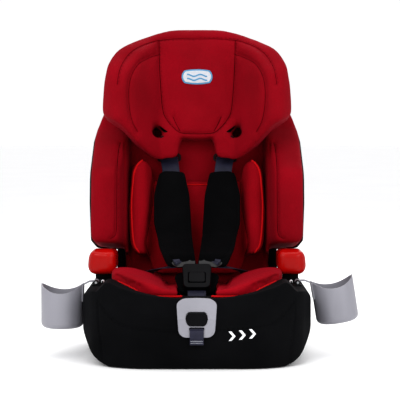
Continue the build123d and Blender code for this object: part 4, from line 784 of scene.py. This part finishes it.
def shoulder_harness(side, name):
    """Shoulder webbing from its slot to the tongue, round the tongue's eye, and its padded sleeve."""
    across, tilted = Vector((side, 0, 0)), tongue_across(side)
    stations = [
        (on_back(side * SLOT_X, -2, SLOT_RISE - 6), across, 40 * MM),
        (on_back(side * SLOT_X, -24, SLOT_RISE - 1), across, 40 * MM),
        (on_back(side * SLOT_X, -44, SLOT_RISE + 1), across, 39 * MM),
        (on_back(side * (SLOT_X - 1), -62, SLOT_RISE - 10), across, 38 * MM),
        (on_back(side * 57, -76, 264), across, 38 * MM), (on_back(side * 54, -88, 184), across, 38 * MM),
        (on_back(side * 50, -110, 122), across, 38 * MM), (on_back(side * 40, -148, 87), across, 36 * MM),
        (on_buckle(side * 36, 6, 66), tilted, 30 * MM), (on_buckle(side * 35, 3.5, 52), tilted, 28 * MM),
        (on_buckle(side * 35, -1.5, 49.5), tilted, 28 * MM),
        (on_buckle(side * 37, -4.2, 54), tilted, 28 * MM),
        (on_buckle(side * 40, 0, 68), tilted, 28 * MM), (on_buckle(side * 42, 6, 76), tilted, 28 * MM),
    ]
    web = strap(f"shoulder_webbing_{name}", stations)
    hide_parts(f"shoulder_strap_{name}")
    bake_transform(web)

    sleeve = remeshed(cad_copy(f"harness_pad_{name}", f"shoulder_pad_{name}"), 1.9 * MM)
    relax(sleeve, 14)
    lengthen(sleeve, on_buckle(side * 36, 6, 66) - on_back(side * 50, -110, 122))
    surface = surface_of(sleeve)
    edge = [(31, 262), (24, 215), (20, 150), (15, 66)]
    other = [(80, 263), (88, 215), (87, 150), (75, 104), (52, 66)]
    seams = [laid_on(surface, back_line(points, side), DEPTH) for points in (edge, other)]
    relief(sleeve, seams, 3.5 * MM, 12 * MM, 1.2 * MM, 2 * MM, FORWARD, 0.9 * MM, 0.3)
    sleeve.data.materials.append(PADDING)
    shade_smooth(sleeve)
    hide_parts(f"shoulder_pad_{name}")
    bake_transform(sleeve)


def lengthen(sleeve, along):
    """Draws the lower end of a shoulder pad down over the tongue."""
    points = points_of(sleeve)
    rise = np.array([(Vector(p) - HINGE).dot(RISE) for p in points]) / MM
    share = np.clip((PAD_STRETCH_FROM - rise) / PAD_STRETCH_OVER, 0, 1)
    share = share * share * (3 - 2 * share)
    side = math.copysign(1, points[:, 0].mean())
    points[:, 0] += share * PAD_SPREAD * (points[:, 0] - side * PAD_INNER_X * MM)
    drawn = along.normalized() * PAD_DOWN * MM + FORWARD * PAD_OUT * MM
    set_points(sleeve, points + share[:, None] * np.array(drawn))


def lap_webbing(side, name):
    """Lap webbing from the tongue's eye to the crease of the seat."""
    tilted = tongue_across(side)
    web = strap(f"lap_webbing_{name}", [
        (on_buckle(side * 34, -3.5, 48), tilted, 28 * MM), (on_buckle(side * 34.5, 1, 46), tilted, 28 * MM),
        (on_buckle(side * 35, 8, 50), tilted, 28 * MM),
        (Vector((side * 72, 6, 178)) * MM, Vector((side * 0.8, -0.6, -0.1)), 34 * MM),
        (Vector((side * 104, 50, 164)) * MM, Vector((side * 0.85, -0.5, 0)), 34 * MM),
        (Vector((side * 116, 90, 150)) * MM, Vector((side, 0, 0)), 34 * MM),
    ])
    finish_piece(web, "base", [f"lap_strap_{name}"])


def pull_webbing():
    """Adjuster webbing hanging over the plate, its end turned over and sewn."""
    low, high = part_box("pull_strap")
    front, slot_z, across, width = low.y, 0.0812, Vector((1, 0, 0)), high.x - low.x
    route = [
        (high.y, 0.082), (-0.06, 0.083), (front + 0.016, slot_z), (front + 0.0062, slot_z - 0.0006),
        (front + 0.0030, slot_z - 0.004), (front + 0.0024, 0.066), (front + 0.0020, low.z + 0.0018),
        (front + 0.0006, low.z + 0.0009), (front + 0.0004, low.z + 0.0026), (front + 0.0004, low.z + 0.010),
    ]
    web = strap("adjuster_webbing", [(Vector((0, y, z)), across, width) for y, z in route], step=1.5 * MM)
    finish_piece(web, "base", ["pull_strap"])
    rows = []
    for z in (low.z + 0.0045, low.z + 0.0082):
        row = [Vector((x * MM, front - 0.0006, z)) for x in np.linspace(-12, 12, 13)]
        rows.append(tube(row, 0.3 * MM, sides=5))
    points, faces = joined(rows)
    finish_piece(add_mesh("webbing_bartack", points, faces, WHITE_THREAD), "base")


def crotch_webbing():
    """Webbing between the buckle and the base, and the pad round it."""
    across, pad_widening = Vector((1, 0, 0)), 1.26
    web = strap("crotch_webbing", [
        (on_buckle(0, 0, -27), across, 38 * MM), (on_buckle(0, 0, -39), across, 38 * MM),
        (Vector((0, -97, 126)) * MM, across, 38 * MM), (Vector((0, -97, 100)) * MM, across, 38 * MM),
    ])
    finish_piece(web, "base", ["crotch_strap"])
    pad = remeshed(cad_copy("crotch_cushion", "crotch_pad"), 1.4 * MM)
    relax(pad, 10)
    set_points(pad, points_of(pad) * (pad_widening, 1, 1))
    pad.data.materials.append(PADDING)
    finish_piece(shade_smooth(pad), "base", ["crotch_pad"])


for side, name in ((-1, "left"), (1, "right")):
    shoulder_harness(side, name)
    lap_webbing(side, name)
pull_webbing()
crotch_webbing()


# ---- Moulded parts ---------------------------------------------------------------------------
def eased(name, node, radius, material):
    """A copy of a CAD node with its edges rounded over."""
    piece = cad_copy(name, node, math.radians(1.0))
    piece.data.materials.append(material)
    bevel = piece.modifiers.new("edges", "BEVEL")
    bevel.width = radius
    bevel.segments = 3
    bevel.limit_method = "ANGLE"
    bevel.angle_limit = math.radians(35)
    bevel.harden_normals = False
    apply_modifiers(piece)
    piece.data.shade_smooth()
    piece.data.set_sharp_from_angle(angle=math.radians(40))
    return finish_piece(piece, BODY_OF[node], [node])


def rounded(name, node, voxel, rounds, material, out=0.0):
    """A copy of a CAD node with its form softened all over, as a thick moulding is."""
    piece = remeshed(cad_copy(name, node), voxel)
    swell(relax(piece, rounds), out)
    piece.data.materials.append(material)
    return finish_piece(shade_smooth(piece), BODY_OF[node], [node])


GUIDE_FLARE = 5
LINING_SINK = 15        # keeps the linings of the belt guides behind the headrest's cloth


def flared(nose):
    """Leans the outer side of a belt guide outwards at its foot."""
    points = points_of(nose)
    low, high = points[:, 2].min(), points[:, 2].max()
    across = np.abs(points[:, 0])
    share = (across - across.min()) / np.ptp(across)
    lean = ((low + high) / 2 - points[:, 2]) / (high - low)
    points[:, 0] += np.sign(points[:, 0]) * share * GUIDE_FLARE * MM * lean
    set_points(nose, points)


for name in ("left", "right"):
    flared(rounded(f"belt_guide_{name}", f"lap_belt_guide_{name}", 1.2 * MM, 40, RED_GLOSS, 2.2 * MM))
    rounded(f"arm_moulding_{name}", f"armrest_{name}", 1.6 * MM, 8, BLACK_PLASTIC)
    eased(f"cup_{name}", f"cup_holder_{name}", 0.9 * MM, GREY)
    lining = eased(f"head_belt_guide_{name}", f"shoulder_belt_guide_{name}", 0.8 * MM, BLACK_GLOSS)
    set_points(lining, points_of(lining) + np.array(DEPTH * LINING_SINK * MM))
rounded("adjuster_surround", "adjuster_plate", 0.8 * MM, 7, GREY)
rounded("release_key", "adjuster_key", 0.7 * MM, 8, BLACK_GLOSS)
rounded("buckle_body", "buckle_housing", 0.9 * MM, 7, BLACK_GLOSS)
rounded("buckle_key", "buckle_button", 0.7 * MM, 7, BLACK_GLOSS)
rounded("head_handle", "headrest_handle", 1.3 * MM, 10, BLACK_PLASTIC)
eased("back_moulding", "backrest_shell", 1.6 * MM, BLACK_PLASTIC)
eased("head_moulding", "headrest_shell", 1.6 * MM, BLACK_PLASTIC)


def bracket_tip_glints():
    """Pale rounded pieces on the tips of the two cup brackets, a little narrower at both ends: painted highlights,
    standing in for the glints on the tips.
    """
    place, radius, sides, end_size = (195.3, -50, 155), 3.4 * MM, 16, 0.8
    parts = []
    for side in (-1, 1):
        centre = Vector((side * place[0], place[1], place[2])) * MM
        line = [centre + Vector((0, y * MM, 0)) for y in (-3, -2.4, 0, 2.4, 3)]
        points, faces = tube(line, radius, sides)
        for i in [*range(sides), *range(len(points) - sides, len(points))]:
            away = points[i] - centre
            points[i] = centre + Vector((away.x * end_size, away.y, away.z * end_size))
        parts.append((points, faces))
    points, faces = joined(parts)
    finish_piece(add_mesh("bracket_tip_glints", points, faces, WHITE_PRINT_AND_GLINT), "base")


bracket_tip_glints()


# ---- Floor, light and camera -----------------------------------------------------------------
FLOOR_HALF = 40.0
WORLD_COLOUR, WORLD_STRENGTH = (0.99, 0.99, 1.0, 1), 0.85
LIGHTS_AIM = Vector((0, 0, 0.35))
LIGHTS = (                                              # name, place, size and power in watts
    ("key_light", (-1.3, -2.2, 2.0), 1.6, 30), ("fill_light", (1.7, -2.0, 1.2), 1.4, 16),
    ("top_light", (0, 0.1, 2.6), 2.0, 16), ("rear_light", (0.6, 2.2, 1.6), 1.6, 20),
)
CAMERA_PLACE = (0.0064, -2.75, 0.4637)
CAMERA_PITCH = -2.96                                    # degrees from level
LENS, SENSOR = 117.7, 36


def studio():
    """A pale floor, an even world and four soft lights."""
    corners = [(-FLOOR_HALF, -FLOOR_HALF, 0), (FLOOR_HALF, -FLOOR_HALF, 0),
               (FLOOR_HALF, FLOOR_HALF, 0), (-FLOOR_HALF, FLOOR_HALF, 0)]
    data = bpy.data.meshes.new("floor")
    data.from_pydata(corners, [], [(0, 1, 2, 3)])
    paint = Paint("pale_floor")
    shade = paint.colours(paint.noise(1.5), (0.965, 0.965, 0.967), (0.985, 0.985, 0.986))
    data.materials.append(paint.finish(shade, paint.spread(paint.noise(3.0), 0.55, 0.65),
                                       paint.bump(paint.noise(60.0), 0.0001, 0.1)))
    add_object("floor", data)
    world = bpy.data.worlds.new("studio")
    world.use_nodes = True
    background = world.node_tree.nodes["Background"]
    background.inputs["Color"].default_value = WORLD_COLOUR
    background.inputs["Strength"].default_value = WORLD_STRENGTH
    SCENE.world = world
    for name, place, size, power in LIGHTS:
        light = bpy.data.lights.new(name, "AREA")
        light.size = size
        light.energy = power
        lamp = add_object(name, light)
        lamp.location = place
        lamp.rotation_euler = (LIGHTS_AIM - Vector(place)).to_track_quat("-Z", "Y").to_euler()


def camera():
    """The camera of the photograph, as far as it can be told."""
    lens = bpy.data.cameras.new("camera")
    lens.lens = LENS
    lens.sensor_width = SENSOR
    eye = add_object("camera", lens)
    eye.location = CAMERA_PLACE
    eye.rotation_euler = (math.radians(90 + CAMERA_PITCH), 0, 0)
    SCENE.camera = eye


studio()
camera()
